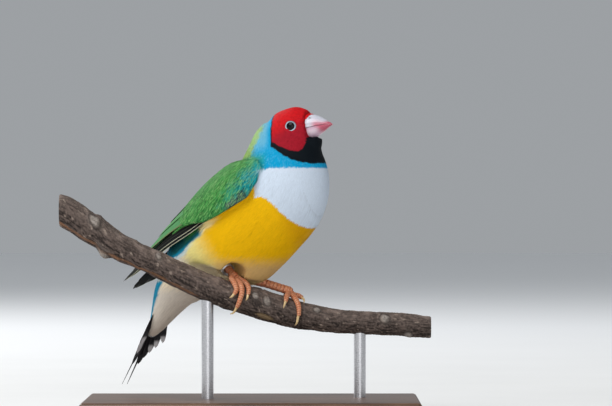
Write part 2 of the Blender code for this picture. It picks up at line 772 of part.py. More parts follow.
def foot_solid(name, foot):
    hub = hub_of(foot)
    pieces = []
    for toe, claw in zip(foot["toes"], foot["claws"]):
        line = [hub.copy()]
        line += [perch_point(foot["hub_x"] + s, angle, lift) for s, angle, lift in toe]
        radii = [TOE_RADII[0] + (TOE_RADII[1] - TOE_RADII[0]) * t for t in steps(len(line))]
        for k in range(1, len(line)):
            radii[k] = min(radii[k], toe[k - 1][2] - GAP)
        pieces.append(tube("toe", line, radii, 6))
        tip = [line[-1] + (line[-2] - line[-1]) * 0.4]
        tip += [perch_point(foot["hub_x"] + s, angle, lift) for s, angle, lift in claw]
        pieces.append(tube("claw", tip, [0.00058, 0.00045, CLAW_TIP], 5))
    body = sphere(name, hub, HUB_RADIUS, 11, 7)
    return combine(body, pieces, "UNION")


def leg_solid(name, foot, grow=0.0):
    hub, back = tarsus_line(foot)
    start = HUB_RADIUS + GAP - grow
    points = [hub + back * d for d in (start, 0.004, 0.009, TARSUS - 0.002, TARSUS + grow)]
    radii = [TARSUS_RADIUS * share + grow for share in (1.0, 1.0, 1.0, 1.25, 0.95)]
    return tube(name, points, radii, 8)


def band_solid(name, foot, grow=0.0):
    """The leg band, hanging on the tarsus, or the room it needs in the flesh."""
    hub, back = tarsus_line(foot)
    middle, length = BAND_PLACE
    down = Vector((0.0, 0.0, -1.0))
    down = (down - back * down.dot(back)).normalized()
    inner, outer = BAND_RADII
    hang = inner - TARSUS_RADIUS - GAP
    ends = [hub + back * (middle + s * (length / 2 + grow)) + down * hang for s in (-1, 1)]
    bar = tube(name, ends, [outer + grow] * 2, 16)
    if grow:
        return bar
    hole = tube("hole", [ends[0] - back * 0.001, ends[1] + back * 0.001], [inner] * 2, 16)
    return combine(bar, [hole], "DIFFERENCE")


# Stand
def rod_span(x):
    middle, radius = perch_line(x)
    foot = Vector((middle.x, middle.y, BASE_SIZE[2] - ROD_DEPTH))
    head = Vector((middle.x, middle.y, middle.z - radius + ROD_DEPTH))
    return foot, head


def rod(name, x, grow=0.0):
    foot, head = rod_span(x)
    up = Vector((0.0, 0.0, grow))
    return tube(name, [foot - up, head + up], [ROD_RADIUS + grow] * 2, 16)


def base(name):
    bm = bmesh.new()
    bmesh.ops.create_cube(bm, size=1.0)
    bmesh.ops.scale(bm, vec=BASE_SIZE, verts=bm.verts)
    bmesh.ops.translate(bm, vec=(0.0, 0.0, BASE_SIZE[2] / 2), verts=bm.verts)
    upper = [edge for edge in bm.edges if max(v.co.z for v in edge.verts) > 0.001]
    bmesh.ops.bevel(bm, geom=upper, offset=BASE_BEVEL, segments=2, profile=0.5, affect="EDGES")
    bmesh.ops.triangulate(bm, faces=bm.faces)
    return new_object(name, bm)


def bird_flesh(bird):
    """Head, neck, torso, rump and tail, parted from one body and placed by the bird's empty."""
    body = flesh()
    pieces = {
        "head": between(body, "head", [front_of(HEAD_CUT)]),
        "neck": between(body, "neck", [behind(HEAD_CUT), front_of(NECK_CUT)]),
        "torso": between(body, "torso", [behind(NECK_CUT), front_of(RUMP_CUT)]),
        "rump": between(body, "rump", [behind(RUMP_CUT), front_of(TAIL_CUT)]),
        "tail": between(body, "tail", [behind(TAIL_CUT)]),
    }
    drop(body)
    head = pieces["head"]
    combine(head, [lid(side) for side in (-1, 1)], "UNION")
    room = [eye("room", side, GAP) for side in (-1, 1)] + [bill_socket()]
    combine(head, [moved(obj, HEAD_FRAME) for obj in room], "DIFFERENCE")
    combine(pieces["tail"], tail_vanes(), "UNION")
    for obj in pieces.values():
        obj.parent = bird
    return pieces


def feet_and_legs(torso):
    """Feet, legs and band on the branch, and the room for them in the torso."""
    rooms = [perch_solid("room", GAP)]
    for side, foot in FEET.items():
        finished(foot_solid("foot_" + side, foot), "leg_skin")
        finished(leg_solid("leg_" + side, foot), "leg_skin")
        rooms.append(leg_solid("room", foot, GAP))
        rooms.append(sphere("room", hub_of(foot), HUB_RADIUS + GAP, 10, 7))
    finished(band_solid("leg_band", FEET["right"]), "band")
    rooms.append(band_solid("room", FEET["right"], GAP))
    for room in rooms:
        combine(torso, [room], "DIFFERENCE")


def stand(perch):
    plate = base("stand_base")
    for n, x in enumerate(ROD_PLACES, 1):
        finished(rod("stand_rod_" + str(n), x), "stand_metal")
        combine(perch, [rod("room", x, GAP)], "DIFFERENCE")
        combine(plate, [rod("room", x, GAP)], "DIFFERENCE")
    finished(plate, "stand_wood")


def main():
    clear_scene()
    bird = empty("bird", BIRD)
    face = empty("face", HEAD_FRAME, bird)
    bpy.context.view_layer.update()

    pieces = bird_flesh(bird)
    for obj in (wing(1, "wing_left"), wing(-1, "wing_right")):
        obj.parent = bird
        finished(obj, "wing_feathers")
    upper, lower = bills()
    eyes = [eye("eye_left", 1), eye("eye_right", -1)]
    for obj in [upper, lower] + eyes:
        obj.parent = face
        finished(obj, "eye" if obj in eyes else "bill")

    perch = perch_solid("perch")
    feet_and_legs(pieces["torso"])
    stand(perch)
    finished(perch, "bark")
    for name, look in (
        ("head", "red_feathers"),
        ("neck", "blue_feathers"),
        ("torso", "breast_feathers"),
        ("rump", "rump_feathers"),
        ("tail", "tail_feathers"),
    ):
        finished(pieces[name], look)


main()
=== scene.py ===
"""Looks of the Gouldian finch on its branch and stand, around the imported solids. Metres, +Z up.

The bird has its own frame, x forward, y to its left and z up, as in the part's source, and the head has one
inside it. One skin runs over head, body and folded wings, and plumage is made of thin closed vanes that
follow the lie of the feathers over it.
"""

from math import atan2, copysign, cos, degrees, exp, hypot, pi, radians, sin, sqrt, tan

import bmesh
import bpy
import numpy as np
from mathutils import Matrix, Vector, noise
from mathutils.bvhtree import BVHTree


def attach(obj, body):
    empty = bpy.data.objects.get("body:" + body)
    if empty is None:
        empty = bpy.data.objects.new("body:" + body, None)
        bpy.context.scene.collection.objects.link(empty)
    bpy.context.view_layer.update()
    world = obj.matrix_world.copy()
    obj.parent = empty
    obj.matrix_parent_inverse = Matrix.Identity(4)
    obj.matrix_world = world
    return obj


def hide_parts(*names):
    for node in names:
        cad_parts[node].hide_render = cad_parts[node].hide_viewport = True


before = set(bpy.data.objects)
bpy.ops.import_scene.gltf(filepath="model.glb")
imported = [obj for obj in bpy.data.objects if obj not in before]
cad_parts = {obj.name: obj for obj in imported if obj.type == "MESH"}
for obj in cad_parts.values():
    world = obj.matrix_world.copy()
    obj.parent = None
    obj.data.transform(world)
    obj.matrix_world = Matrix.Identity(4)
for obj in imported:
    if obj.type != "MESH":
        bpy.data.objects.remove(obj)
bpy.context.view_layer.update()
RNG = np.random.default_rng(11)
MM = 1000.0     # millimetres in a metre
SIDES = ((1, "left"), (-1, "right"))

# Placing, as in the part's source
STANCE_X = 0.0037
HEADING = 32.0
BIRD = Matrix.Translation((STANCE_X, 0.0, 0.0)) @ Matrix.Rotation(-radians(HEADING), 4, "Z")
HEAD_FRAME = (
    BIRD
    @ Matrix.Translation((0.0161, 0.0, 0.1087))
    @ Matrix.Rotation(radians(4.0), 4, "Z")
    @ Matrix.Rotation(-radians(11.0), 4, "Y")
)
BIRD_BACK = np.array(BIRD.inverted())
HEAD_BACK = np.array(HEAD_FRAME.inverted())
BIRD_ON = np.array(BIRD)

# The spine in the bird's frame, tail tip to bill tip: x, z
SPINE = (
    (-0.0617, 0.0118), (-0.0504, 0.0290), (-0.0412, 0.0440), (-0.0350, 0.0515), (-0.0253, 0.0591),
    (-0.0154, 0.0650), (-0.0073, 0.0723), (0.0008, 0.0795), (0.0070, 0.0870), (0.0105, 0.0950),
    (0.0127, 0.1015), (0.0160, 0.1065), (0.0220, 0.1090), (0.0300, 0.1105),
)

# The cloak that the folded wings lie on, and the wing's edges, as in the part's source
CLOAK_SLOPE = 43.6
CLOAK = (
    (0.0171, 0.0941, 0.0170, 0.0170),
    (0.0090, 0.0868, 0.0192, 0.0190),
    (0.0008, 0.0795, 0.0206, 0.0205),
    (-0.0073, 0.0723, 0.0214, 0.0210),
    (-0.0158, 0.0653, 0.0206, 0.0203),
    (-0.0269, 0.0603, 0.0170, 0.0175),
    (-0.0391, 0.0561, 0.0117, 0.0135),
    (-0.0489, 0.0527, 0.0078, 0.0095),
    (-0.0587, 0.0494, 0.0038, 0.0060),
)
WING_EDGES = (
    (0.55, 60.0, 76.0), (0.9, 46.0, 88.0), (1.5, 32.0, 95.0), (2.2, 20.0, 90.0), (2.8, 13.0, 85.5),
    (3.3, 9.0, 80.0), (3.8, 6.5, 68.0), (4.2, 6.0, 61.0), (5.3, 5.0, 54.5), (6.0, 6.0, 52.0),
)
FLANK_EDGE = (
    (1.5, 95.0), (2.2, 90.0), (2.8, 85.5), (3.4, 80.0), (4.0, 79.0), (4.5, 81.0), (5.2, 83.0), (6.5, 86.0),
)
FAR_WING_SAG = 0.0030
ROW_PITCH = 0.0109      # distance between two rows of the cloak

# The branch: x, z and radius along its middle line
PERCH_YAW = 11.0
PERCH = (
    (-0.0703, 0.0776, 0.0058), (-0.0562, 0.0695, 0.0055), (-0.0488, 0.0643, 0.0051),
    (-0.0414, 0.0606, 0.0047), (-0.0266, 0.0536, 0.0050), (-0.0118, 0.0473, 0.0052),
    (-0.0044, 0.0449, 0.0053), (0.0030, 0.0428, 0.0057), (0.0104, 0.0406, 0.0055),
    (0.0178, 0.0386, 0.0052), (0.0252, 0.0373, 0.0048), (0.0326, 0.0362, 0.0045),
    (0.0474, 0.0354, 0.0044), (0.0548, 0.0350, 0.0044), (0.0666, 0.0339, 0.0042),
)


# Arrays and curves
def at(rows, t):
    """The row at t on a smooth curve through the rows. t counts rows from 0."""
    last = len(rows) - 1
    k = min(max(int(t), 0), last - 1)
    f = t - k
    before = rows[max(k - 1, 0)]
    after = rows[min(k + 2, last)]
    return [
        0.5 * (2 * q + (r - p) * f + (2 * p - 5 * q + 4 * r - s) * f * f + (3 * q - p - 3 * r + s) * f ** 3)
        for p, q, r, s in zip(before, rows[k], rows[k + 1], after)
    ]


def steps(count):
    """Shares from 0 to 1, both ends in."""
    return [k / (count - 1) for k in range(count)]


def turns(count):
    """Angles once round a circle."""
    return [2 * pi * k / count for k in range(count)]


def smooth(x, low, high):
    """0 below low, 1 above high and smooth between, for arrays."""
    t = np.clip((x - low) / (high - low), 0.0, 1.0)
    return t * t * (3 - 2 * t)


def fades(x, low, high):
    """1 below low, 0 above high and smooth between, for arrays."""
    return smooth(-x, -high, -low)


def bell(x, middle, width):
    return np.exp(-((x - middle) / width) ** 2)


def curve(x, points):
    """A line through (x, value) points, for arrays."""
    return np.interp(x, [p[0] for p in points], [p[1] for p in points])


def through(matrix, points):
    """Points moved by a 4 by 4 array."""
    return points @ matrix[:3, :3].T + matrix[:3, 3]


def unit(vectors):
    return vectors / np.maximum(np.linalg.norm(vectors, axis=-1, keepdims=True), 1e-12)


def ripple(points, scale, seed=0.0):
    """Soft noise from -1 to 1 at points, the same each run."""
    return np.array([noise.noise(Vector(p) / scale + Vector((seed, seed, seed))) for p in points])


def mix(a, b, share):
    """Colours a turned to b, one colour or one for each, by a share for each."""
    return a + (np.asarray(b) - a) * np.asarray(share)[:, None]


def painted(colour, *coats):
    """Colours turned to one tint after another, each with its share."""
    for tint, share in coats:
        colour = mix(colour, tint, share)
    return colour


def flat(colour, like):
    """One colour for as many points as like has."""
    return np.tile(np.asarray(colour, float), (len(like), 1))


# Unwrap of the body: distance along the spine and angle round it
SPINE_ROWS = [at(SPINE, t * (len(SPINE) - 1)) for t in steps(66)]
SPINE_X = np.array([row[0] for row in SPINE_ROWS])
SPINE_Z = np.array([row[1] for row in SPINE_ROWS])
SPINE_S = np.concatenate([[0.0], np.cumsum(np.hypot(np.diff(SPINE_X), np.diff(SPINE_Z)))])
SPINE_WAY = unit(np.stack([np.gradient(SPINE_X), 0 * SPINE_X, np.gradient(SPINE_Z)], axis=1))


def spine_place(points):
    """Distance along the spine, weighted by nearness so that it runs smoothly over the whole body."""
    far = (
        (points[:, None, 0] - SPINE_X) ** 2
        + 0.5 * points[:, None, 1] ** 2
        + (points[:, None, 2] - SPINE_Z) ** 2
    )
    weight = (far + 1e-6) ** -3.0
    return (weight * SPINE_S).sum(axis=1) / weight.sum(axis=1)


def spine_turn(points):
    """Distance along the spine and angle round it from the back's middle, in the bird's frame."""
    s = spine_place(points)
    cx = np.interp(s, SPINE_S, SPINE_X)
    cz = np.interp(s, SPINE_S, SPINE_Z)
    ax = np.interp(s, SPINE_S, SPINE_WAY[:, 0])
    az = np.interp(s, SPINE_S, SPINE_WAY[:, 2])
    up = -az * (points[:, 0] - cx) + ax * (points[:, 2] - cz)
    return s, np.arctan2(points[:, 1], up)


def unwrap(world):
    """The skin laid flat: distance along the spine and angle round it, as shares."""
    s, turn = spine_turn(through(BIRD_BACK, world))
    return np.stack([0.03 + 0.94 * s / SPINE_S[-1], 0.5 + 0.47 * turn / pi], axis=1)


# The cloak
LEAN = radians(CLOAK_SLOPE)
CLOAK_ROWS = np.array([at(CLOAK, t * (len(CLOAK) - 1)) for t in steps(81)])
CLOAK_Q = -(CLOAK_ROWS[:, 0] * cos(LEAN) + CLOAK_ROWS[:, 1] * sin(LEAN))


def cloak(row, angle, height, side):
    """A point on the cloak: a row along it, degrees from the back's middle, and a height over it."""
    x, z, back, half = at(CLOAK, row)
    if side > 0:
        z -= FAR_WING_SAG * max((row - 4) / 4, 0.0) ** 2
    turn = radians(angle)
    reach = (back + height) * cos(turn)
    point = Vector((
        x - reach * sin(LEAN), side * (half + height) * sin(turn), z + reach * cos(LEAN)
    ))
    return BIRD @ point


def cloak_place(points):
    """Row, degrees from the back's middle and height in metres of points in the bird's frame."""
    q = -(points[:, 0] * cos(LEAN) + points[:, 2] * sin(LEAN))
    row = np.interp(q, CLOAK_Q, np.linspace(0, len(CLOAK) - 1, len(CLOAK_Q)))
    x, z, back, half = (np.interp(q, CLOAK_Q, CLOAK_ROWS[:, k]) for k in range(4))
    row = np.where(q < CLOAK_Q[0], (q - CLOAK_Q[0]) / ROW_PITCH, row)
    up = (-sin(LEAN) * (points[:, 0] - x) + cos(LEAN) * (points[:, 2] - z)) / back
    out = np.abs(points[:, 1]) / half
    return row, np.degrees(np.arctan2(out, up)), (np.hypot(up, out) - 1) * half


def wing_edge(row, which):
    return curve(row, [(r[0], r[which]) for r in WING_EDGES])


def wing_share(row, angle, over):
    """1 where a point of the skin lies on a folded wing."""
    inside = smooth(wing_edge(row, 2) + 6.0 - angle, -1.5, 1.5) * smooth(row, 0.3, 0.8)
    floor = curve(angle, ((60.0, -0.0030), (76.0, -0.0020)))
    return inside * smooth(over - floor, 0.0, 0.0008)


def lie(world):
    """The direction in which feathers lie: back along the spine, slanting down over mantle and wings."""
    points = through(BIRD_BACK, world)
    s = spine_place(points)
    ways = -np.stack([np.interp(s, SPINE_S, SPINE_WAY[:, k]) for k in range(3)], axis=1)
    row, angle, over = cloak_place(points)
    turn = np.radians(angle)
    side = np.sign(points[:, 1])
    down = np.stack(
        [sin(LEAN) * np.sin(turn), side * np.cos(turn), -cos(LEAN) * np.sin(turn)], axis=1
    )
    along = np.array([-cos(LEAN), 0.0, -sin(LEAN)])
    wing = wing_share(row, angle, over)
    slant = curve(row, ((-1.0, 0.0), (0.3, 0.24), (1.2, 0.40), (3.4, 0.32), (5.0, 0.12), (8.0, 0.0)))
    slant = slant * smooth(angle, 4.0, 22.0)
    ways = ways * (1 - wing[:, None]) + along * wing[:, None]
    ways = unit(ways) + down * (slant * np.maximum(wing, smooth(110 - angle, 20.0, 45.0) * 0.6))[:, None]
    return unit(ways) @ BIRD_ON[:3, :3].T


# Plumage colours
SCARLET = (0.60, 0.008, 0.012)
CRIMSON = (0.32, 0.010, 0.024)
BLACK = (0.004, 0.007, 0.010)
SKY = (0.001, 0.32, 0.60)
PALE_BLUE = (0.15, 0.44, 0.62)
DEEP_BLUE = (0.003, 0.22, 0.34)
TURQUOISE = (0.012, 0.30, 0.29)
LIME_AND_RIM_HIGHLIGHT = (0.34, 0.48, 0.06)
GREEN = (0.050, 0.255, 0.050)
PALE_GREEN_AND_RIM_HIGHLIGHT = (0.17, 0.42, 0.13)
DARK_GREEN = (0.012, 0.10, 0.040)
TEAL = (0.002, 0.24, 0.28)
WHITE = (0.60, 0.68, 0.78)
YELLOW = (0.80, 0.44, 0.001)
GOLD = (0.60, 0.29, 0.001)
PALE_YELLOW = (0.86, 0.74, 0.26)
CREAM = (0.70, 0.63, 0.54)
BUFF = (0.62, 0.41, 0.20)
RUMP_BLUE = (0.006, 0.23, 0.37)
RUMP_DARK = (0.006, 0.080, 0.085)
SLATE = (0.045, 0.052, 0.062)
FLANK_RIM_HIGHLIGHT = (0.92, 0.84, 0.50)
UNDERSIDE_PAINTED_LIGHT = (0.95, 0.80, 0.56)
PALE_FRINGE = (0.52, 0.68, 0.74)
BILL_ROOT_SHADE = (0.10, 0.006, 0.010)
LIGHT_STREAK = (0.25, 0.50, 0.16)
LIGHT_SLATE = (0.17, 0.20, 0.21)
LIGHT_BLUE = (0.20, 0.52, 0.66)

# Outlines of the markings, in millimetres: in the head's frame x, z, and for the breast distance out, z
MASK_REAR = -6.7
BLACK_REAR = -7.35
MASK_LOWER = (
    (-6.7, -4.6), (-3.7, -7.1), (-1.3, -8.7), (0.0, -9.5), (2.0, -9.9), (3.2, -9.3), (4.2, -7.2),
    (4.6, -4.8), (5.0, -2.0), (9.0, -1.5),
)
BLACK_LOWER = (
    (-7.4, -6.0), (-5.7, -7.8), (-3.7, -9.7), (-1.9, -11.2), (0.0, -12.6), (1.7, -13.7), (3.5, -14.5),
    (5.6, -15.3),
)
BREAST_LOWER = (
    (0, 71.5), (2.8, 71.6), (6.2, 72.4), (9.8, 74.6), (12.8, 77.8), (15.0, 81.5), (17.0, 87.0),
)
LIME_EDGE = ((-9.0, -17.0), (-5.0, -15.4), (1.5, -12.0), (5.0, -12.6))


def over_back(x, z):
    """How far a point lies over the slanting line between breast and back, in millimetres."""
    return -0.724 * (x - 0.8) + 0.69 * (z - 79.5)


def belly_colours(b, bx, bz, row, angle, bend):
    """Yellow, deeper at the front, painted paler along the flank's rim by the wing as a highlight, cream at
    the vent, buff by the legs, and painted paler on the underside over the branch, where it lies in shade.
    """
    flank = curve(row, FLANK_EDGE)
    rearward = -(b[:, 0] + 0.55 * (b[:, 2] - 60.0))
    # Painted highlight: rim and lip make the yellow paler along the flank's edge next to the wing.
    rim = smooth(flank + 9 - angle, 0.0, 8.0) * smooth(row, 2.6, 4.2)
    lip = smooth(flank + 3.5 - angle + 0.6 * bend, 0.0, 3.0) * smooth(row, 2.6, 3.4)
    # Painted light: the belly's underside over the branch, which lies in shade, is made paler.
    underside = fades(b[:, 2], 55.5, 58.5) * fades(b[:, 0], -13.5, -9.0)
    return painted(
        flat(YELLOW, b),
        (GOLD, smooth(bx, 13.0, 20.0) * 0.7),
        (PALE_YELLOW, np.maximum(smooth(rearward, 5.0, 19.0), rim * 0.35)),
        (FLANK_RIM_HIGHLIGHT, lip * 0.6),
        (CREAM, smooth(rearward, 19.0, 29.0)),
        (BUFF, fades(bz, 55.5, 62.0) * smooth(b[:, 0], -14.0, -8.0) * 0.8),
        (UNDERSIDE_PAINTED_LIGHT, underside * 0.85),
        (CREAM, fades(b[:, 2], 46.0, 51.0)),
    )


def with_rump(colour, b, turn, row, angle, bend):
    """Blue on the rump and the upper tail coverts, with a pale fringe to the flank."""
    low = curve(row, FLANK_EDGE) + 2.0
    rump = smooth(row, 3.5, 3.8) * smooth(low - angle + bend, -2.0, 2.0)
    fringe = smooth(row, 4.0, 4.7) * smooth(low + 5 - angle + bend, -3.0, 2.0)
    over_tail = smooth(80 - turn + bend, -5.0, 5.0)
    on_tail = fades(b[:, 2], 51.0, 53.5)
    colour = mix(colour, PALE_FRINGE, fringe * 0.8 * (1 - on_tail))
    dark = fades(angle, 76.0, 82.0) * fades(row, 5.0, 5.6)
    blue = mix(flat(RUMP_BLUE, b), RUMP_DARK, dark)
    between = smooth(48 - turn, -6.0, 6.0) * fades(b[:, 2], 57.0, 59.0)
    return mix(colour, blue, np.maximum(rump * (1 - on_tail) + over_tail * on_tail, between))


def nape_colours(bx, bz, x, z, world):
    """Sky blue, paler at the nape, deeper and then green downwards, and lime behind the black band: partly
    the plumage's own lime and partly a painted rim highlight along the outline.
    """
    streak = 1.8 * ripple(world * (1.0, 1.0, 0.45), 0.0006, 5.0)
    # Lime towards the nape's outline: partly the plumage's own lime, partly a painted rim highlight.
    lime = smooth(curve(z, LIME_EDGE) - x + streak, -1.2, 1.2)
    return painted(
        flat(SKY, x),
        (PALE_BLUE, fades(x, -10.5, -7.6) * smooth(z, -8.0, -3.0) * 0.85),
        (DEEP_BLUE, fades(bz, 94.0, 97.0) * fades(bx, 8.0, 12.0) * 0.7),
        (TURQUOISE, fades(z, -10.0, -6.5) * fades(x, -11.5, -7.5)),
        (GREEN, smooth(-z - 0.5 * x, 13.5, 17.0) * fades(bx, 5.0, 9.0) * 0.8),
        (LIME_AND_RIM_HIGHLIGHT, lime * fades(z, 1.5, 4.0) * smooth(z, -9.5, -6.5) * 0.8),
    )


def with_head(colour, x, z):
    """The black band, chin and throat, and the red mask over them, darker by the bill as painted shade
    where the feathers meet it.
    """
    black = smooth(x, BLACK_REAR - 0.1, BLACK_REAR + 0.1) * smooth(z - curve(x, BLACK_LOWER), -0.2, 0.2)
    mask = smooth(x, MASK_REAR - 0.12, MASK_REAR + 0.12) * smooth(z - curve(x, MASK_LOWER), -0.2, 0.2)
    red = painted(
        flat(SCARLET, x),
        (CRIMSON, smooth(-z + 0.25 * x, -2.5, 3.5) * 0.85),
        # Painted shade in the crease where the red feathers meet the bill.
        (BILL_ROOT_SHADE, smooth(x, 4.1, 4.9) * fades(z, 1.2, 2.4) * 0.75),
    )
    return painted(colour, (BLACK, black), (red, mask))


def marking(world):
    """The plumage's colour at points on the body and on the folded wings."""
    points = through(BIRD_BACK, world)
    b = points * MM
    h = through(HEAD_BACK, world) * MM
    row, angle, over = cloak_place(points)
    turn = np.degrees(np.abs(spine_turn(points)[1]))
    jitter = ripple(world, 0.0016) * 0.2
    x, z = h[:, 0] + jitter, h[:, 2] + jitter
    bx, bz = b[:, 0] + jitter, b[:, 2] + jitter
    bend = 4 * ripple(world, 0.004, 3.0)
    colour = belly_colours(b, bx, bz, row, angle, bend)
    colour = with_rump(colour, b, turn, row, angle, bend)

    # White breast
    edge = curve(np.abs(b[:, 1]), BREAST_LOWER)
    colour = mix(colour, WHITE, smooth(bz - edge, -0.3, 0.3) * smooth(bx, 7.6, 8.8))

    # Green back, breast sides and wings
    back = smooth(over_back(bx, bz), 2.0, 4.0) * fades(row, 3.9, 4.6)
    back = back * smooth(curve(row, FLANK_EDGE) - angle - 6, -2.0, 2.0)
    side = fades(bx - 7.4, -1.2, 0.0) * smooth(bz - edge - 1.2, -0.6, 0.6) * fades(row, 2.0, 4.0)
    green = np.maximum(np.maximum(back, side), wing_share(row, angle, over))
    colour = mix(colour, wing_colours(row, angle, world), green)

    # Blue collar and nape, then the head
    rise = bz - 93.2 - 0.35 * np.clip(11.5 - bx, 0.0, 12.0)
    collar = smooth(rise, -0.3 - 0.25 * np.clip(11 - bx, 0, 9), 0.3)
    colour = mix(colour, nape_colours(bx, bz, x, z, world), collar)
    return with_head(colour, x, z)


def wing_colours(row, angle, world):
    """The green of back and wings at cloak rows and angles, turquoise by the collar, teal in front, and
    paler along the back's middle: partly pale plumage and partly a painted rim highlight on the outline.
    """
    wave = ripple(world, 0.0022)
    fleck = wave + 1.2 * ripple(world * (1.0, 1.0, 0.5), 0.0007, 2.0)
    patch = smooth(angle + 5 * wave, 81.0, 85.0) * fades(row, 2.1, 2.4) * smooth(row, 1.15, 1.4)
    return painted(
        flat(GREEN, row),
        # Paler along the back's middle, which is the outline from the side: partly pale plumage, partly a
        # painted rim highlight.
        (PALE_GREEN_AND_RIM_HIGHLIGHT, fades(angle, 12.0, 36.0) * smooth(row, 0.2, 1.2) * 0.75),
        (TURQUOISE, fades(row + 0.5 * wave, -0.1, 0.9) * 0.8),
        (TURQUOISE, fades(row + 0.4 * fleck, 1.4, 2.6) * smooth(angle, 62.0, 82.0) * 0.6),
        (TEAL, fades(row + 0.45 * fleck, 0.9, 1.8) * smooth(angle, 54.0, 74.0) * 0.85),
        (DARK_GREEN, smooth(row, 2.2, 3.2) * smooth(angle, 58.0, 84.0) * 0.55),
        (SLATE, patch * 0.85),
    )


# Making objects
def linked(name, data):
    """An object in the scene."""
    obj = bpy.data.objects.new(name, data)
    bpy.context.scene.collection.objects.link(obj)
    return obj


def from_bmesh(name, bm):
    mesh = bpy.data.meshes.new(name)
    bm.to_mesh(mesh)
    bm.free()
    return linked(name, mesh)


def mesh_object(name, verts, faces):
    """An object from arrays of points and of faces with the same number of corners."""
    corners = faces.shape[1]
    mesh = bpy.data.meshes.new(name)
    mesh.vertices.add(len(verts))
    mesh.vertices.foreach_set("co", np.ascontiguousarray(verts, np.float32).ravel())
    mesh.loops.add(faces.size)
    mesh.loops.foreach_set("vertex_index", np.ascontiguousarray(faces, np.int32).ravel())
    mesh.polygons.add(len(faces))
    mesh.polygons.foreach_set("loop_start", np.arange(len(faces), dtype=np.int32) * corners)
    mesh.update(calc_edges=True)
    mesh.shade_smooth()
    return linked(name, mesh)


def tinted(obj, colours):
    """Stores a colour for each point."""
    stored = obj.data.color_attributes.new("tint", "FLOAT_COLOR", "POINT")
    full = np.ones((len(colours), 4), np.float32)
    full[:, :3] = np.clip(colours, 0.0, 1.0)
    stored.data.foreach_set("color", full.ravel())
    return obj


def mapped(obj, name, per_point):
    """A UV map from values for each point."""
    made = obj.data.uv_layers.new(name=name)
    corner = np.empty(len(obj.data.loops), np.int32)
    obj.data.loops.foreach_get("vertex_index", corner)
    made.data.foreach_set("uv", np.ascontiguousarray(per_point[corner], np.float32).ravel())
    return obj


def settled(obj):
    """Turns the modifiers' result into the object's own mesh."""
    graph = bpy.context.evaluated_depsgraph_get()
    mesh = bpy.data.meshes.new_from_object(obj.evaluated_get(graph))
    obj.modifiers.clear()
    obj.data = mesh
    return obj


def points_of(obj, what="co"):
    values = np.empty(len(obj.data.vertices) * 3, np.float32)
    obj.data.vertices.foreach_get(what, values)
    return values.reshape(-1, 3).astype(float)


def placed(obj, slot, *nodes):
    """Rides on the part's only body and stands for the nodes; the slot is not used."""
    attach(obj, "root")
    if nodes:
        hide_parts(*nodes)
    return obj


def tube_faces(rings, around):
    """Faces of a tube whose points run ring by ring, and then a middle point for each end."""
    faces = []
    for r in range(rings - 1):
        for c in range(around):
            n = (c + 1) % around
            a, b = r * around + c, r * around + n
            faces += [(a, b, b + around), (a, b + around, a + around)]
    first, last = rings * around, rings * around + 1
    top = (rings - 1) * around
    for c in range(around):
        n = (c + 1) % around
        faces += [(first, n, c), (last, top + c, top + n)]
    return np.array(faces)


def hoop_faces(around, count):
    """Faces of a hoop whose closed sections have count points each."""
    faces = []
    for c in range(around):
        n = (c + 1) % around
        for k in range(count):
            m = (k + 1) % count
            faces.append((c * count + k, c * count + m, n * count + m, n * count + k))
    return np.array(faces)


def facing_out(obj):
    """Turns the faces of a closed mesh outwards."""
    bm = bmesh.new()
    bm.from_mesh(obj.data)
    bmesh.ops.recalc_face_normals(bm, faces=bm.faces)
    bm.to_mesh(obj.data)
    bm.free()
    return obj


def solid(name, points, faces, finish, tints=None):
    """A closed piece with its faces turned out."""
    obj = mesh_object(name, np.array([tuple(p) for p in points]), faces)
    if tints is not None:
        tinted(obj, np.array([tuple(t) for t in tints]))
    facing_out(obj).data.materials.append(finish)
    return obj


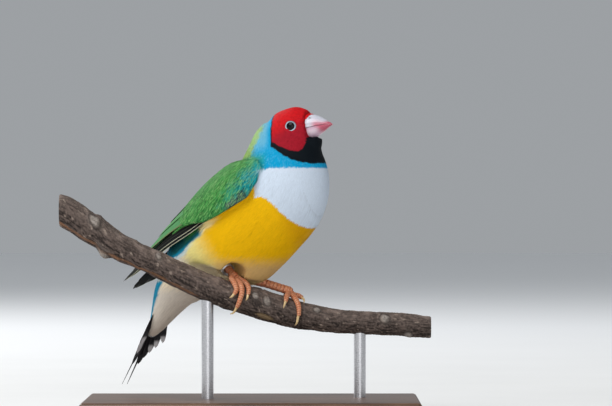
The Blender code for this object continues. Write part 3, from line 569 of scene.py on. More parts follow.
# Materials
class Shader:
    """A node material under construction."""

    def __init__(self, name, roughness=0.5, **sockets):
        self.material = bpy.data.materials.new(name)
        self.material.use_nodes = True
        self.tree = self.material.node_tree
        self.shader = self.tree.nodes["Principled BSDF"]
        self.shader.inputs["Roughness"].default_value = roughness
        for socket, value in sockets.items():
            self.shader.inputs[socket.replace("_", " ")].default_value = value

    def node(self, kind, links=None, **settings):
        made = self.tree.nodes.new(kind)
        for key, value in settings.items():
            setattr(made, key, value)
        for key, value in (links or {}).items():
            socket = made.inputs[key]
            if isinstance(value, bpy.types.NodeSocket):
                self.tree.links.new(value, socket)
            else:
                socket.default_value = value
        return made

    def math(self, operation, a, b=0.0):
        return self.node("ShaderNodeMath", {0: a, 1: b}, operation=operation).outputs[0]

    def times(self, a, b):
        return self.math("MULTIPLY", a, b)

    def ramp(self, factor, stops):
        made = self.node("ShaderNodeValToRGB", {"Fac": factor})
        band = made.color_ramp
        while len(band.elements) < len(stops):
            band.elements.new(0.5)
        for element, (place, colour) in zip(band.elements, stops):
            element.position = place
            element.color = (*colour, 1.0)
        return made.outputs["Color"]

    def blend(self, factor, a, b, mode="MIX"):
        made = self.node("ShaderNodeMix", data_type="RGBA", blend_type=mode)
        for index, value in ((0, factor), (6, a), (7, b)):
            if isinstance(value, bpy.types.NodeSocket):
                self.tree.links.new(value, made.inputs[index])
            else:
                made.inputs[index].default_value = value if index == 0 else (*value, 1.0)
        return made.outputs[2]

    def tint(self):
        return self.node("ShaderNodeVertexColor", layer_name="tint").outputs["Color"]

    def place(self):
        return self.node("ShaderNodeTexCoord").outputs["Object"]

    def noise(self, vector, scale, detail=3.0, rough=0.6):
        links = {"Vector": vector, "Scale": scale, "Detail": detail, "Roughness": rough}
        return self.node("ShaderNodeTexNoise", links).outputs["Fac"]

    def stretched(self, vector, scale):
        return self.node("ShaderNodeMapping", {"Vector": vector, "Scale": scale}).outputs["Vector"]

    def darker(self, colour, factor, share):
        """The colour with a share of itself, by a factor."""
        return self.blend(factor, colour, self.blend(1.0, colour, (share,) * 3, "MULTIPLY"))

    def colour(self, socket):
        self.tree.links.new(socket, self.shader.inputs["Base Color"])

    def rough(self, factor, share, least):
        """Roughness that grows with a factor from the least."""
        value = self.math("ADD", self.times(factor, share), least)
        self.tree.links.new(value, self.shader.inputs["Roughness"])

    def bump(self, height, strength, distance):
        made = self.node("ShaderNodeBump", {"Height": height, "Strength": strength, "Distance": distance})
        self.tree.links.new(made.outputs["Normal"], self.shader.inputs["Normal"])


def plumage_finish(name, gloss=0.6, barbs=26.0, depth=0.18):
    """Feathers: the stored tint, darker at the roots, with barbs across each vane."""
    s = Shader(name, roughness=gloss, Specular_IOR_Level=0.07)
    place = s.node("ShaderNodeUVMap", uv_map="vane").outputs["UV"]
    split = s.node("ShaderNodeSeparateXYZ", {"Vector": place})
    across = s.math("ABSOLUTE", s.math("SUBTRACT", split.outputs["X"], 0.5))
    along = split.outputs["Y"]
    slanted = s.math("SUBTRACT", along, s.times(across, 0.9))
    wave = s.math("SINE", s.times(slanted, barbs * 6.0))
    barb = s.times(s.math("ADD", wave, 1.0), 0.5)
    grain = s.noise(s.place(), 900.0)
    shade = s.ramp(along, ((0.0, (0.82,) * 3), (0.5, (0.97,) * 3), (1.0, (1.0,) * 3)))
    base = s.blend(1.0, s.tint(), shade, "MULTIPLY")
    base = s.darker(base, s.times(barb, 0.12), 0.45)
    base = s.darker(base, s.times(grain, 0.18), 1.3)
    s.colour(base)
    s.bump(s.math("ADD", barb, s.times(grain, 0.5)), depth, 0.0002)
    return s.material


def skin_finish(name):
    """The ground between the feathers: the stored tint with a fine grain."""
    s = Shader(name, roughness=0.85, Specular_IOR_Level=0.15)
    grain = s.noise(s.place(), 1400.0)
    s.colour(s.darker(s.tint(), s.math("ADD", s.times(grain, 0.4), 0.1), 0.6))
    s.bump(grain, 0.4, 0.0002)
    return s.material


# The small feather: share along and across, and height as a share of the width
LEAF = np.array([
    (0.00, -0.55, 0.00), (0.00, 0.0, 0.04), (0.00, 0.55, 0.00),
    (0.42, -1.00, -0.03), (0.42, 0.0, 0.05), (0.42, 1.00, -0.03),
    (0.80, -0.66, -0.02), (0.80, 0.0, 0.04), (0.80, 0.66, -0.02),
    (1.00, 0.00, 0.00),
])
LEAF_FACES = np.array([
    (0, 1, 4), (0, 4, 3), (1, 2, 5), (1, 5, 4), (3, 4, 7), (3, 7, 6), (4, 5, 8), (4, 8, 7),
    (6, 7, 9), (7, 8, 9), (0, 3, 5), (0, 5, 2), (3, 6, 8), (3, 8, 5), (6, 9, 8), (0, 2, 1),
])
LEAF_LEVELS = (0.0, 0.42, 0.80, 1.0)
SHARP = radians(50)
PIECE_LEAVES = 12300    # keeps each piece of the coat under 200,000 triangles
CHART = 0.003           # size of a feather's patch on the baked map
LEAF_RISE = 0.00004     # height of a small feather's root over the skin


def feathered(name, verts, faces, tints, charts, local, finish):
    """An object of vanes, with their tints, their place on the baked map and their own map."""
    obj = mesh_object(name, verts, faces)
    obj.data.set_sharp_from_angle(angle=SHARP)
    tinted(obj, tints)
    mapped(obj, "OFBake", charts)
    mapped(obj, "vane", local)
    obj.data.materials.append(finish)
    return obj


class Surface:
    """A mesh to grow feathers on: its faces, and the nearest place on it to any point."""

    def __init__(self, obj):
        self.points = points_of(obj)
        obj.data.calc_loop_triangles()
        tris = np.empty(len(obj.data.loop_triangles) * 3, np.int32)
        obj.data.loop_triangles.foreach_get("vertices", tris)
        self.tris = tris.reshape(-1, 3)
        self.normals = points_of(obj, "normal")
        self.tree = BVHTree.FromPolygons(self.points.tolist(), self.tris.tolist())
        corners = self.points[self.tris]
        cross = np.cross(corners[:, 1] - corners[:, 0], corners[:, 2] - corners[:, 0])
        self.areas = np.linalg.norm(cross, axis=1) / 2
        self.middles = corners.mean(axis=1)

    def roots(self, density):
        """Points spread evenly over the faces, with density for each face in feathers per square metre."""
        want = self.areas * density
        count = np.floor(want + RNG.random(len(want))).astype(int)
        face = np.repeat(np.arange(len(want)), count)
        a = RNG.random(len(face))
        b = RNG.random(len(face))
        over = a + b > 1
        a[over] = 1 - a[over]
        b[over] = 1 - b[over]
        share = np.stack([1 - a - b, a, b], axis=1)[:, :, None]
        corner = self.tris[face]
        return (self.points[corner] * share).sum(axis=1), unit((self.normals[corner] * share).sum(axis=1))

    def nearest(self, points):
        """The nearest places on the surface, and the smooth normals there."""
        found = np.empty_like(points)
        index = np.empty(len(points), int)
        for k, point in enumerate(points):
            found[k], _, index[k], _ = self.tree.find_nearest(point)
        corner = self.tris[index]
        weight = 1 / (np.linalg.norm(self.points[corner] - found[:, None], axis=2) + 1e-6)
        return found, unit((self.normals[corner] * weight[:, :, None]).sum(axis=1))


def coat(name, surface, roots, normals, ways, lengths, widths, lifts, colours, charts, finish):
    """Small feathers on a surface: each is a thin closed vane that hugs it from the root to the tip."""
    count = len(roots)
    ways = unit(ways - normals * (ways * normals).sum(axis=1, keepdims=True))
    places = [roots]
    ups = [normals]
    headings = [ways]
    for low, high in zip(LEAF_LEVELS, LEAF_LEVELS[1:]):
        step, up = surface.nearest(places[-1] + headings[-1] * ((high - low) * lengths)[:, None])
        heading = unit(headings[-1] - up * (headings[-1] * up).sum(axis=1, keepdims=True))
        places.append(step)
        ups.append(up)
        headings.append(heading)
    verts = np.empty((count, len(LEAF), 3))
    for k, (t, a, h) in enumerate(LEAF):
        level = LEAF_LEVELS.index(t)
        up = ups[level]
        across = unit(np.cross(up, headings[level]))
        rise = LEAF_RISE + lifts * t
        out = across * (a * widths / 2)[:, None]
        verts[:, k] = places[level] + out + up * (rise + h * widths)[:, None]
    faces = (LEAF_FACES[None] + (np.arange(count) * len(LEAF))[:, None, None]).reshape(-1, 3)
    patch = np.stack([LEAF[:, 0] - 0.5, LEAF[:, 1] / 2], axis=1) * CHART
    local = np.stack([0.5 + LEAF[:, 1] / 2, LEAF[:, 0]], axis=1)
    return feathered(
        name, verts.reshape(-1, 3), faces, np.repeat(colours, len(LEAF), axis=0),
        (charts[:, None] + patch[None]).reshape(-1, 2), np.tile(local, (count, 1)), finish,
    )


# Skin
SKIN_VOXEL = 0.0005
COAT_DEPTH = 0.00045
SWELL = 0.00025
CONE = (
    (-0.0500, 0.0298, 60.5, 0.0016, 0.0010, 0.0012),
    (-0.0473, 0.0336, 60.5, 0.0038, 0.0024, 0.0030),
    (-0.0438, 0.0397, 60.5, 0.0060, 0.0044, 0.0054),
    (-0.0405, 0.0455, 58.0, 0.0080, 0.0064, 0.0080),
    (-0.0360, 0.0505, 54.0, 0.0096, 0.0084, 0.0098),
    (-0.0320, 0.0540, 50.0, 0.0100, 0.0086, 0.0100),
)
EYE_SPOT = Vector((-0.0002, 0.0050, -0.0004))   # middle of the left eye in the head's frame
ORB = (0.0040, 0.0027)                          # middle and radius of the flesh that fills the socket
WING_INNER = ((0.5, -0.0034), (3.8, -0.0034), (4.8, -0.0028), (5.8, -0.0026))
WING_OUTER = ((0.5, -0.0010), (1.3, 0.0002), (3.8, 0.0003), (4.4, -0.0003), (4.9, -0.0012), (5.7, -0.0014))
THIGHS = {"right": 0.0128, "left": 0.0136}      # distance of the thigh's middle from the foot's hub
THIGH_RADII = (0.0023, 0.0023, 0.0046)          # the last along the leg
CHIN = ((0.0052, 0.0, -0.0069), 0.0024)         # middle in the head's frame, and its radius
WING_ROWS = (0.55, 5.7)                         # the cloak's rows between which a wing has flesh
NAPE = (0.0025, 0.1105)                         # the nape's corner in the bird's frame: x, z
NAPE_SPREAD = 0.0040
NAPE_PULL = 0.0012                              # how far the coat's flesh lies inside that corner


def add_rings(bm, rings):
    """Adds a closed loft through rings of points."""
    count = len(rings[0])
    made = [[bm.verts.new(point) for point in ring] for ring in rings]
    faces = [bm.faces.new(made[0]), bm.faces.new(made[-1])]
    for low, high in zip(made, made[1:]):
        for k in range(count):
            faces.append(bm.faces.new((low[k], low[(k + 1) % count], high[(k + 1) % count], high[k])))
    bmesh.ops.recalc_face_normals(bm, faces=faces)


def cone_rings():
    """Sections of the flesh that carries the tail."""
    for t in steps(14):
        x, z, slope, half, back, belly = at(CONE, t * (len(CONE) - 1))
        lean = radians(slope)
        ring = []
        for turn in turns(28):
            reach = (back if cos(turn) > 0 else belly) * cos(turn)
            spot = (x - reach * sin(lean), half * sin(turn), z + reach * cos(lean))
            ring.append(BIRD @ Vector(spot))
        yield ring


def wing_rings(side):
    """Sections of a folded wing's flesh: a plate on the cloak that reaches into the trunk at the front."""
    first, last = WING_ROWS
    across = steps(18)
    for t in steps(44):
        row = first + t * (last - first)
        upper, lower = float(wing_edge(row, 1)), float(wing_edge(row, 2))
        inner = float(curve(row, WING_INNER))
        outer = float(curve(row, WING_OUTER))
        ring = [cloak(row, upper + (lower - upper) * q, outer, side) for q in across]
        for q in across[::-1]:
            rim = min(1.0, min(q, 1 - q) * 9, (last - row) * 2.0 + 0.1)
            height = outer + (inner - outer) * (0.35 + 0.65 * rim)
            ring.append(cloak(row, upper + (lower - upper) * q, height, side))
        yield ring


def add_ball(bm, radius, matrix):
    bmesh.ops.create_uvsphere(bm, u_segments=24, v_segments=16, radius=radius, matrix=matrix)


def flesh_lumps():
    """Places and radii of the lumps under the chin and over the thighs."""
    yield Matrix.Translation(HEAD_FRAME @ Vector(CHIN[0])) @ Matrix.Diagonal((CHIN[1],) * 3 + (1.0,))
    for word, foot in FEET.items():
        hub, back = hub_and_back(foot)
        along = back.to_track_quat("Z", "Y").to_matrix().to_4x4()
        yield Matrix.Translation(hub + back * THIGHS[word]) @ along @ Matrix.Diagonal((*THIGH_RADII, 1.0))


def drawn_in(skin):
    """Draws the skin in at the nape's corner."""
    where = points_of(skin)
    b = through(BIRD_BACK, where)
    far = (b[:, 0] - NAPE[0]) ** 2 + (b[:, 2] - NAPE[1]) ** 2
    pull = NAPE_PULL * np.exp(-far / NAPE_SPREAD ** 2)
    where -= points_of(skin, "normal") * pull[:, None]
    skin.data.vertices.foreach_set("co", where.ravel())
    skin.data.update()


def make_skin():
    """One skin over head, neck, trunk, rump, the tail's flesh and the folded wings."""
    bm = bmesh.new()
    for name in ("head", "neck", "torso", "rump"):
        bm.from_mesh(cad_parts[name].data)
    bm.normal_update()
    for vert in bm.verts:
        vert.co += vert.normal * SWELL
    add_rings(bm, list(cone_rings()))
    for side in (-1, 1):
        add_rings(bm, list(wing_rings(side)))
        middle = HEAD_FRAME @ Vector((EYE_SPOT.x, side * ORB[0], EYE_SPOT.z))
        add_ball(bm, ORB[1], Matrix.Translation(middle))
    for lump in flesh_lumps():
        add_ball(bm, 1.0, lump)
    skin = from_bmesh("skin", bm)
    remesh = skin.modifiers.new("remesh", "REMESH")
    remesh.mode = "VOXEL"
    remesh.voxel_size = SKIN_VOXEL
    soften = skin.modifiers.new("soften", "SMOOTH")
    soften.factor = 0.5
    soften.iterations = 8
    drawn_in(settled(skin))
    inward = skin.modifiers.new("inward", "DISPLACE")
    inward.strength = -COAT_DEPTH
    inward.mid_level = 0.0
    settled(skin)
    skin.data.shade_smooth()
    where = points_of(skin)
    tinted(skin, marking(where))
    mapped(skin, "OFBake", unwrap(where))
    skin.data.materials.append(skin_finish("skin"))
    return placed(skin, "breast_feathers", "head", "neck", "torso", "rump", "wing_left", "wing_right")


# Body coat
BARE_FOOT = 0.0085      # distance from the foot's hub to the place near which feathers are short


def feather_sizes(world):
    """Length and width of the small feathers, in metres."""
    points = through(BIRD_BACK, world)
    h = through(HEAD_BACK, world) * MM
    b = points * MM
    x, z = h[:, 0], h[:, 2]
    row, angle, over = cloak_place(points)
    length = curve(x * 0.35 + z, ((-34, 3.6), (-22, 2.8), (-17, 1.6), (-8, 1.25), (8, 1.1)))
    wing = wing_share(row, angle, over)
    length = length * (1 - wing) + wing * curve(row, ((0.5, 2.0), (1.5, 2.8), (3.0, 3.8), (5.0, 4.6)))
    length = np.where(x > 2.5, np.minimum(length, 1.1), length)

    # Short where two colours meet, long in the tufts by the wing's edge, short round eyes and feet
    below_mask = np.where(x > -8.0, bell(z - curve(x, MASK_LOWER), 0.0, 1.6), 0.0)
    below_black = np.where(x > -9.0, bell(z - curve(x, BLACK_LOWER), 0.0, 1.8), 0.0)
    length = length + (0.85 - length) * np.maximum(below_mask, below_black) * (x < 7.5)
    white_edge = bell(b[:, 2] - curve(np.abs(b[:, 1]), BREAST_LOWER), 0.0, 2.2) * smooth(b[:, 0], 7.0, 8.5)
    length = length + (1.6 - length) * white_edge * (length > 1.6)
    tuft = bell(angle - wing_edge(row, 2) - 4, 0.0, 5.0) * smooth(row, 0.5, 0.8) * fades(row, 1.5, 1.9)
    length = length + (3.4 - length) * tuft * (1 - wing)
    near_eye = np.hypot(x - MM * EYE_SPOT.x, z - MM * EYE_SPOT.z)
    length = np.minimum(length, np.where(np.abs(h[:, 1]) > 2, np.maximum(0.35 + 0.22 * near_eye, 0.6), 9))
    for foot in FEET.values():
        hub, back = hub_and_back(foot)
        far = np.linalg.norm(world - np.array(hub + back * BARE_FOOT), axis=1) * MM
        length = np.minimum(length, np.maximum(0.9 + 0.45 * far, 0.9))
    tail = fades(b[:, 2], 47.0, 53.0)
    length = length * (1 - tail) + 6.0 * tail
    width = curve(length, ((0.5, 0.22), (1.3, 0.34), (2.2, 0.44), (3.6, 0.54), (4.6, 0.66), (6.0, 1.0)))
    width = width * (1 - 0.34 * wing)
    return length / MM, width / MM


HEAD, COLLAR, BREAST, BELLY, BACK, WING_RIGHT, WING_LEFT, VENT = range(8)
BODY_REGIONS = {
    HEAD: ("coat_head", "red_feathers"),
    COLLAR: ("coat_collar", "blue_feathers"),
    BREAST: ("coat_breast", "breast_feathers"),
    BELLY: ("coat_belly", "breast_feathers"),
    BACK: ("coat_back", "wing_feathers"),
    WING_RIGHT: ("coat_wing_right", "wing_feathers"),
    WING_LEFT: ("coat_wing_left", "wing_feathers"),
    VENT: ("coat_vent", "rump_feathers"),
}
COVERAGE = 8.5          # how many times over the small feathers cover the skin
FOLD_START = 0.0002     # a fold of the skin is looked for from here
FOLD_REACH = 0.004      # to here over it
LID_REACH = 0.00215     # radius of the bare lids


def region_of(world):
    """The coat's piece that each feather belongs to."""
    points = through(BIRD_BACK, world)
    h = through(HEAD_BACK, world) * MM
    b = points * MM
    row, angle, over = cloak_place(points)
    on_wing = wing_share(row, angle, over) > 0.5
    region = np.full(len(world), BELLY)
    region[b[:, 2] > 71.5] = BREAST
    region[over_back(b[:, 0], b[:, 2]) > 3.0] = BACK
    region[on_wing & (b[:, 1] <= 0)] = WING_RIGHT
    region[on_wing & (b[:, 1] > 0)] = WING_LEFT
    region[(b[:, 2] > 92.5) & (b[:, 0] > -6)] = COLLAR
    region[(h[:, 0] > -7.3) & (h[:, 2] > -13.0)] = HEAD
    region[b[:, 2] < 51.5] = VENT
    return region


def hidden_under(surface, points, normals):
    """Whether another fold of the same skin lies close over a point."""
    hidden = np.zeros(len(points), bool)
    for k, (point, normal) in enumerate(zip(points, normals)):
        way = Vector(normal)
        hit = surface.tree.ray_cast(Vector(point) + way * FOLD_START, way, FOLD_REACH)
        hidden[k] = hit[2] is not None
    return hidden


def bare(world):
    """Where no small feather grows: on the lids and at the bill's root."""
    h = through(HEAD_BACK, world)
    near_eye = np.hypot(h[:, 0] - EYE_SPOT.x, h[:, 2] - EYE_SPOT.z)
    on_lid = (near_eye < LID_REACH) & (np.abs(h[:, 1]) > 0.003)
    return on_lid | ((h[:, 0] > 0.0054) & (h[:, 2] > -0.0056) & (h[:, 2] < 0.0030))


def body_coat(skin):
    """Grows the small feathers and hands them out to the coat's pieces."""
    surface = Surface(skin)
    length, width = feather_sizes(surface.middles)
    row, angle, over = cloak_place(through(BIRD_BACK, surface.middles))
    under_long = (row > 4.9) & (over > -0.0026) & (angle < 60)
    roots, normals = surface.roots(np.where(under_long, 0.0, COVERAGE / (length * width)))
    keep = ~bare(roots) & ~hidden_under(surface, roots, normals)
    roots, normals = roots[keep], normals[keep]
    lengths, widths = feather_sizes(roots)
    lengths = lengths * RNG.uniform(0.8, 1.2, len(roots))
    widths = widths * RNG.uniform(0.8, 1.2, len(roots))
    b = through(BIRD_BACK, roots)
    row, angle, over = cloak_place(b)
    on_wing = wing_share(row, angle, over)
    ways = lie(roots) + RNG.normal(0.0, 0.045, roots.shape) * (1 - 0.6 * on_wing)[:, None]
    lifts = np.clip(0.06 * lengths, 0.00006, 0.00022) * (1 - 0.35 * on_wing)

    # Each feather has the marking's colour at its middle, or near its root where colours meet in spikes
    spiky = smooth(b[:, 0], 0.002, 0.006) * fades(b[:, 0], 0.0115, 0.0125)
    spiky = spiky * smooth(b[:, 2], 0.074, 0.078)
    reach = (0.55 - 0.45 * spiky) * lengths
    colours = marking(roots + ways * reach[:, None])
    wing = np.maximum(on_wing, fades(row, -0.4, 0.6) * fades(b[:, 0], 0.004, 0.008))
    colours = streaked(colours, wing * fades(row, 4.0, 6.0) * smooth(row, -2.0, -0.5))
    colours = mottled(colours, b)

    charts = unwrap(roots)
    region = region_of(roots)
    finish = plumage_finish("plumage")
    rows = (roots, normals, ways, lengths, widths, lifts, colours, charts)
    for number, (name, slot) in BODY_REGIONS.items():
        own = np.flatnonzero(region == number)
        for part, first in enumerate(range(0, len(own), PIECE_LEAVES)):
            chosen = own[first:first + PIECE_LEAVES]
            label = name if part == 0 else name + "_" + str(part + 1)
            placed(coat(label, surface, *(values[chosen] for values in rows), finish), slot)


def streaked(colours, share):
    """Each feather a little lighter or darker, and by a share some much more so, as on the green."""
    count = len(colours)
    colours = colours * (1 + RNG.uniform(-0.05, 0.05, (count, 1)))
    pick = RNG.random(count)
    light = share * (pick > 0.80)
    dark = share * (pick < 0.26)
    colours = mix(colours, LIGHT_STREAK, light * 0.55)
    slate = smooth(-np.abs(colours - SLATE).sum(axis=1), -0.06, -0.03) * (pick > 0.62)
    colours = mix(colours, LIGHT_SLATE, slate)
    red = smooth(colours[:, 0] - 4 * colours[:, 1], 0.05, 0.15) * (RNG.random(count) < 0.3)
    return colours * (1 - 0.60 * dark - 0.28 * red)[:, None]


def mottled(colours, points):
    """Blue feathers of collar and nape each a little towards green or deep blue, more so low down."""
    blue = smooth(colours[:, 2] - 1.5 * colours[:, 0], 0.12, 0.30) * smooth(points[:, 2], 0.088, 0.092)
    low = fades(points[:, 2], 0.0950, 0.1005) * fades(points[:, 0], 0.006, 0.012)
    pick = RNG.random(len(colours))
    return painted(
        colours,
        (DEEP_BLUE, blue * (pick < 0.35) * (0.25 + 0.5 * low)),
        (TURQUOISE, blue * (pick > 0.70) * (0.10 + 0.5 * low)),
        (LIGHT_BLUE, blue * (np.abs(pick - 0.5) < 0.06) * 0.3),
    )


# Long feathers of the wings: root row and angle, tip row and angle, width, height over the cloak
PRIMARIES = (
    (2.0, 84.0, 7.50, 62.0, 0.0034, -0.00150), (2.1, 81.0, 7.85, 53.0, 0.0036, -0.00141),
    (2.2, 78.0, 8.00, 43.0, 0.0038, -0.00132), (2.3, 75.0, 7.70, 38.0, 0.0040, -0.00123),
    (2.4, 72.0, 7.25, 35.0, 0.0042, -0.00114), (2.5, 69.0, 6.80, 34.0, 0.0042, -0.00105),
    (2.6, 66.0, 6.35, 34.0, 0.0042, -0.00096),
)
SECONDARIES = (
    (2.2, 66.0, 5.85, 44.0, 0.0044, -0.00082), (2.3, 59.0, 5.65, 40.0, 0.0042, -0.00072),
    (2.4, 52.0, 5.30, 36.0, 0.0040, -0.00062),
)
TERTIALS = (
    (2.4, 64.0, 6.05, 33.0, 0.0060, -0.00044), (2.3, 50.0, 5.50, 23.0, 0.0062, -0.00026),
    (2.2, 34.0, 4.95, 14.0, 0.0060, -0.00008),
)
BOW = 7.5               # degrees by which a flight feather's middle lies higher than a straight line
BOWED_BELOW = -0.0006   # feathers that lie lower than this on the cloak are bowed so
VANE_ACROSS = 11        # points across a long feather
VANE_THICK = 0.00016
VANE_RIDGE = 0.00012    # height of the shaft


def vane_grid(line, outline, along):
    """Points of one long feather, top rows and then bottom rows, and their places across and along it."""
    top = []
    bottom = []
    local = []
    for t in steps(along):
        share = outline(t)
        for q in steps(VANE_ACROSS):
            a = 2 * q - 1
            arch = VANE_RIDGE * exp(-(a / 0.10) ** 2) * (1 - 0.6 * t)
            fine = VANE_THICK * (1 - 0.6 * abs(a)) * (1 - 0.5 * t)
            top.append(line(t, a * share, arch))
            bottom.append(line(t, a * share, -fine))
            local.append((0.5 + a / 2, t))
    return top + bottom, local + local


def grid_faces(across, along, flip):
    """Faces of a thin closed sheet whose points run row by row, first above and then below."""
    below = across * along
    faces = []
    for r in range(along - 1):
        for c in range(across - 1):
            a = r * across + c
            corners = (a, a + 1, a + across + 1, a + across)
            faces.append(corners)
            faces.append(tuple(below + corners[k] for k in (0, 3, 2, 1)))
    rim = [((r + 1) * across, r * across) for r in range(along - 1)]
    rim += [(r * across + across - 1, (r + 1) * across + across - 1) for r in range(along - 1)]
    rim += [(c, c + 1) for c in range(across - 1)]
    rim += [((along - 1) * across + c + 1, (along - 1) * across + c) for c in range(across - 1)]
    faces += [(b, a, below + a, below + b) for a, b in rim]
    faces = np.array(faces)
    return faces[:, ::-1] if flip else faces


class Vanes:
    """Long feathers gathered into one mesh."""

    def __init__(self, along):
        self.along = along
        self.verts = []
        self.faces = []
        self.tints = []
        self.charts = []
        self.marks = []

    def add(self, line, outline, flip, colour_of, chart):
        """A feather: line gives its points, colour_of its tints and chart its middle on the baked map."""
        points, marks = vane_grid(line, outline, self.along)
        marks = np.array(marks)
        self.faces.append(grid_faces(VANE_ACROSS, self.along, flip) + len(self.verts))
        self.verts += [tuple(p) for p in points]
        self.tints.append(colour_of(marks[:, 0] * 2 - 1, marks[:, 1]))
        self.charts.append(np.array([chart]) + (marks[:, ::-1] - 0.5) * CHART)
        self.marks.append(marks)

    def done(self, name, finish):
        rows = (np.concatenate(values) for values in (self.faces, self.tints, self.charts, self.marks))
        return feathered(name, np.array(self.verts), *rows, finish)


def long_outline(t):
    """Share of the full width along a flight feather."""
    if t < 0.8:
        return 0.55 + 0.45 * sin(min(t / 0.5, 1.0) * pi / 2)
    return max(0.06, sqrt(max(1 - ((t - 0.8) / 0.2) ** 2, 0.0)))


def flight_feathers(name, side, feathers, colour_of, finish):
    """A tier of long feathers on the cloak, joined in one piece."""
    tier = Vanes(26)
    for n, (root_row, root_angle, tip_row, tip_angle, width, height) in enumerate(feathers):
        def line(t, a, rise):
            row = root_row + (tip_row - root_row) * t
            _, _, back, half = at(CLOAK, row)
            angle = root_angle + (tip_angle - root_angle) * t + degrees(a * width / (back + half))
            angle -= BOW * sin(pi * t) if height < BOWED_BELOW else 0.0
            level = height - 0.0003 * max(1 - t / 0.2, 0.0) + 0.00008 * a + rise
            return cloak(row, max(angle, 1.5), level, side)

        chart = (0.1 + root_row / 9, 0.1 + root_angle / 120)
        tier.add(line, long_outline, side < 0, lambda a, t: colour_of(n, a, t), chart)
    return placed(tier.done(name, finish), "wing_feathers")


def primary_colour(n, a, t):
    """Black with a fine pale outer edge, greyer towards the tip."""
    return painted(
        flat((0.007, 0.008, 0.009), a),
        ((0.72, 0.72, 0.50) if n < 2 else (0.045, 0.050, 0.030), smooth(a, 0.86, 0.93)),
        ((0.030, 0.028, 0.026), smooth(t, 0.75, 0.95) * fades(a, 0.5, 0.7)),
        ((0.34, 0.33, 0.30), smooth(t, 0.965, 1.0) * 0.3),
    )


def secondary_colour(_n, a, _t):
    return painted(flat((0.007, 0.010, 0.009), a), ((0.012, 0.050, 0.022), smooth(a, -0.35, 0.1)))


def tertial_colour(n, a, t):
    """Green, paler towards the tip, darker along the edge towards the back's middle as painted shade where
    the next feather up lies over it, and the lowest with a brown outer edge.
    """
    return painted(
        flat((0.040, 0.17, 0.045), a),
        # All but the edge towards the back's middle turns lighter; the darker green left along that edge is
        # painted overlap shade.
        ((0.065, 0.23, 0.080), smooth(a, -0.9, -0.2)),
        ((0.15, 0.33, 0.12), smooth(t, 0.35, 0.9) * 0.35 * n),
        ((0.16, 0.13, 0.055), smooth(a, 0.72, 0.90) * (0.85 if n == 0 else 0.0)),
    )


def make_wings():
    finish = plumage_finish("long_plumage", 0.7, 34.0, 0.15)
    tiers = (
        ("primaries_", PRIMARIES, primary_colour), ("secondaries_", SECONDARIES, secondary_colour),
        ("tertials_", TERTIALS, tertial_colour),
    )
    for side, word in SIDES:
        for tier, feathers, colour_of in tiers:
            flight_feathers(tier + word, side, feathers, colour_of, finish)


# Tail: for each pair from the middle out, length, offset, droop and width
TAIL_ROOT = (-0.0415, 0.0, 0.0475)
TAIL_SLOPE = 60.5
TAIL_START = 0.0015
TAIL_PAIRS = (
    (0.0410, 0.0016, 0.0000, 0.0034),
    (0.0320, 0.0018, 0.0003, 0.0034),
    (0.0290, 0.0028, 0.0006, 0.0035),
    (0.0266, 0.0040, 0.0010, 0.0036),
    (0.0240, 0.0054, 0.0016, 0.0036),
    (0.0212, 0.0069, 0.0025, 0.0036),
)


def pin_outline(t):
    """Share of the width along a middle tail feather, which ends in a long pin."""
    return float(curve(t, ((0.0, 0.7), (0.5, 1.0), (0.62, 0.85), (0.76, 0.28), (1.0, 0.07))))


def tail_colour(pair, a, t):
    dark = mix(flat((0.006, 0.006, 0.009), a), (0.045, 0.040, 0.040), smooth(np.abs(a), 0.5, 1.0) * 0.6)
    if pair > 2:
        dark = mix(dark, (0.70, 0.70, 0.72), smooth(t - 0.02 * np.abs(a), 0.84, 0.90))
    return dark


def make_tail():
    lean = radians(TAIL_SLOPE)
    back = Vector((-cos(lean), 0.0, -sin(lean)))
    dorsal = Vector((-sin(lean), 0.0, cos(lean)))
    tail = Vanes(28)
    for pair, (length, offset, droop, width) in enumerate(TAIL_PAIRS):
        for side in (-1, 1):
            under = 0.00016 * pair + (0.00012 if side > 0 else 0.0)

            def line(t, a, rise):
                far = TAIL_START + (length - TAIL_START) * t
                middle = side * offset * (0.2 + 0.8 * t)
                lift = rise - under - droop * t * t - 0.00015 * a * side
                out = Vector((0.0, middle + a * width / 2, 0.0))
                return BIRD @ (Vector(TAIL_ROOT) + far * back + out + lift * dorsal)

            outline = long_outline if pair else pin_outline
            chart = (0.2 + 0.05 * pair, 0.5 + 0.2 * side)
            tail.add(line, outline, True, lambda a, t: tail_colour(pair, a, t), chart)
    piece = tail.done("tail_vanes", plumage_finish("tail_plumage", 0.45, 40.0, 0.2))
    return placed(piece, "tail_feathers", "tail")


# Eyes
EYE_RADIUS = 0.0025
PUPIL = 0.00095
PUPIL_TINT = (0.0010, 0.0010, 0.0015)
IRIS_TINT = (0.008, 0.005, 0.005)
EYE_TURN = radians(11.0)        # towards the bill
LID_SECTION = (                 # millimetres from the eye's middle line, and out from the head's middle
    (1.42, 6.50), (1.48, 6.96), (1.54, 7.08), (1.64, 7.13), (1.76, 7.12), (1.90, 7.02), (2.10, 6.78),
    (2.45, 6.20), (2.40, 5.70), (1.60, 5.70),
)
LID_PALE = (0.40, 0.52, 0.60)
LID_INNER = (0.02, 0.03, 0.04)
LID_OUTER = (0.10, 0.03, 0.04)


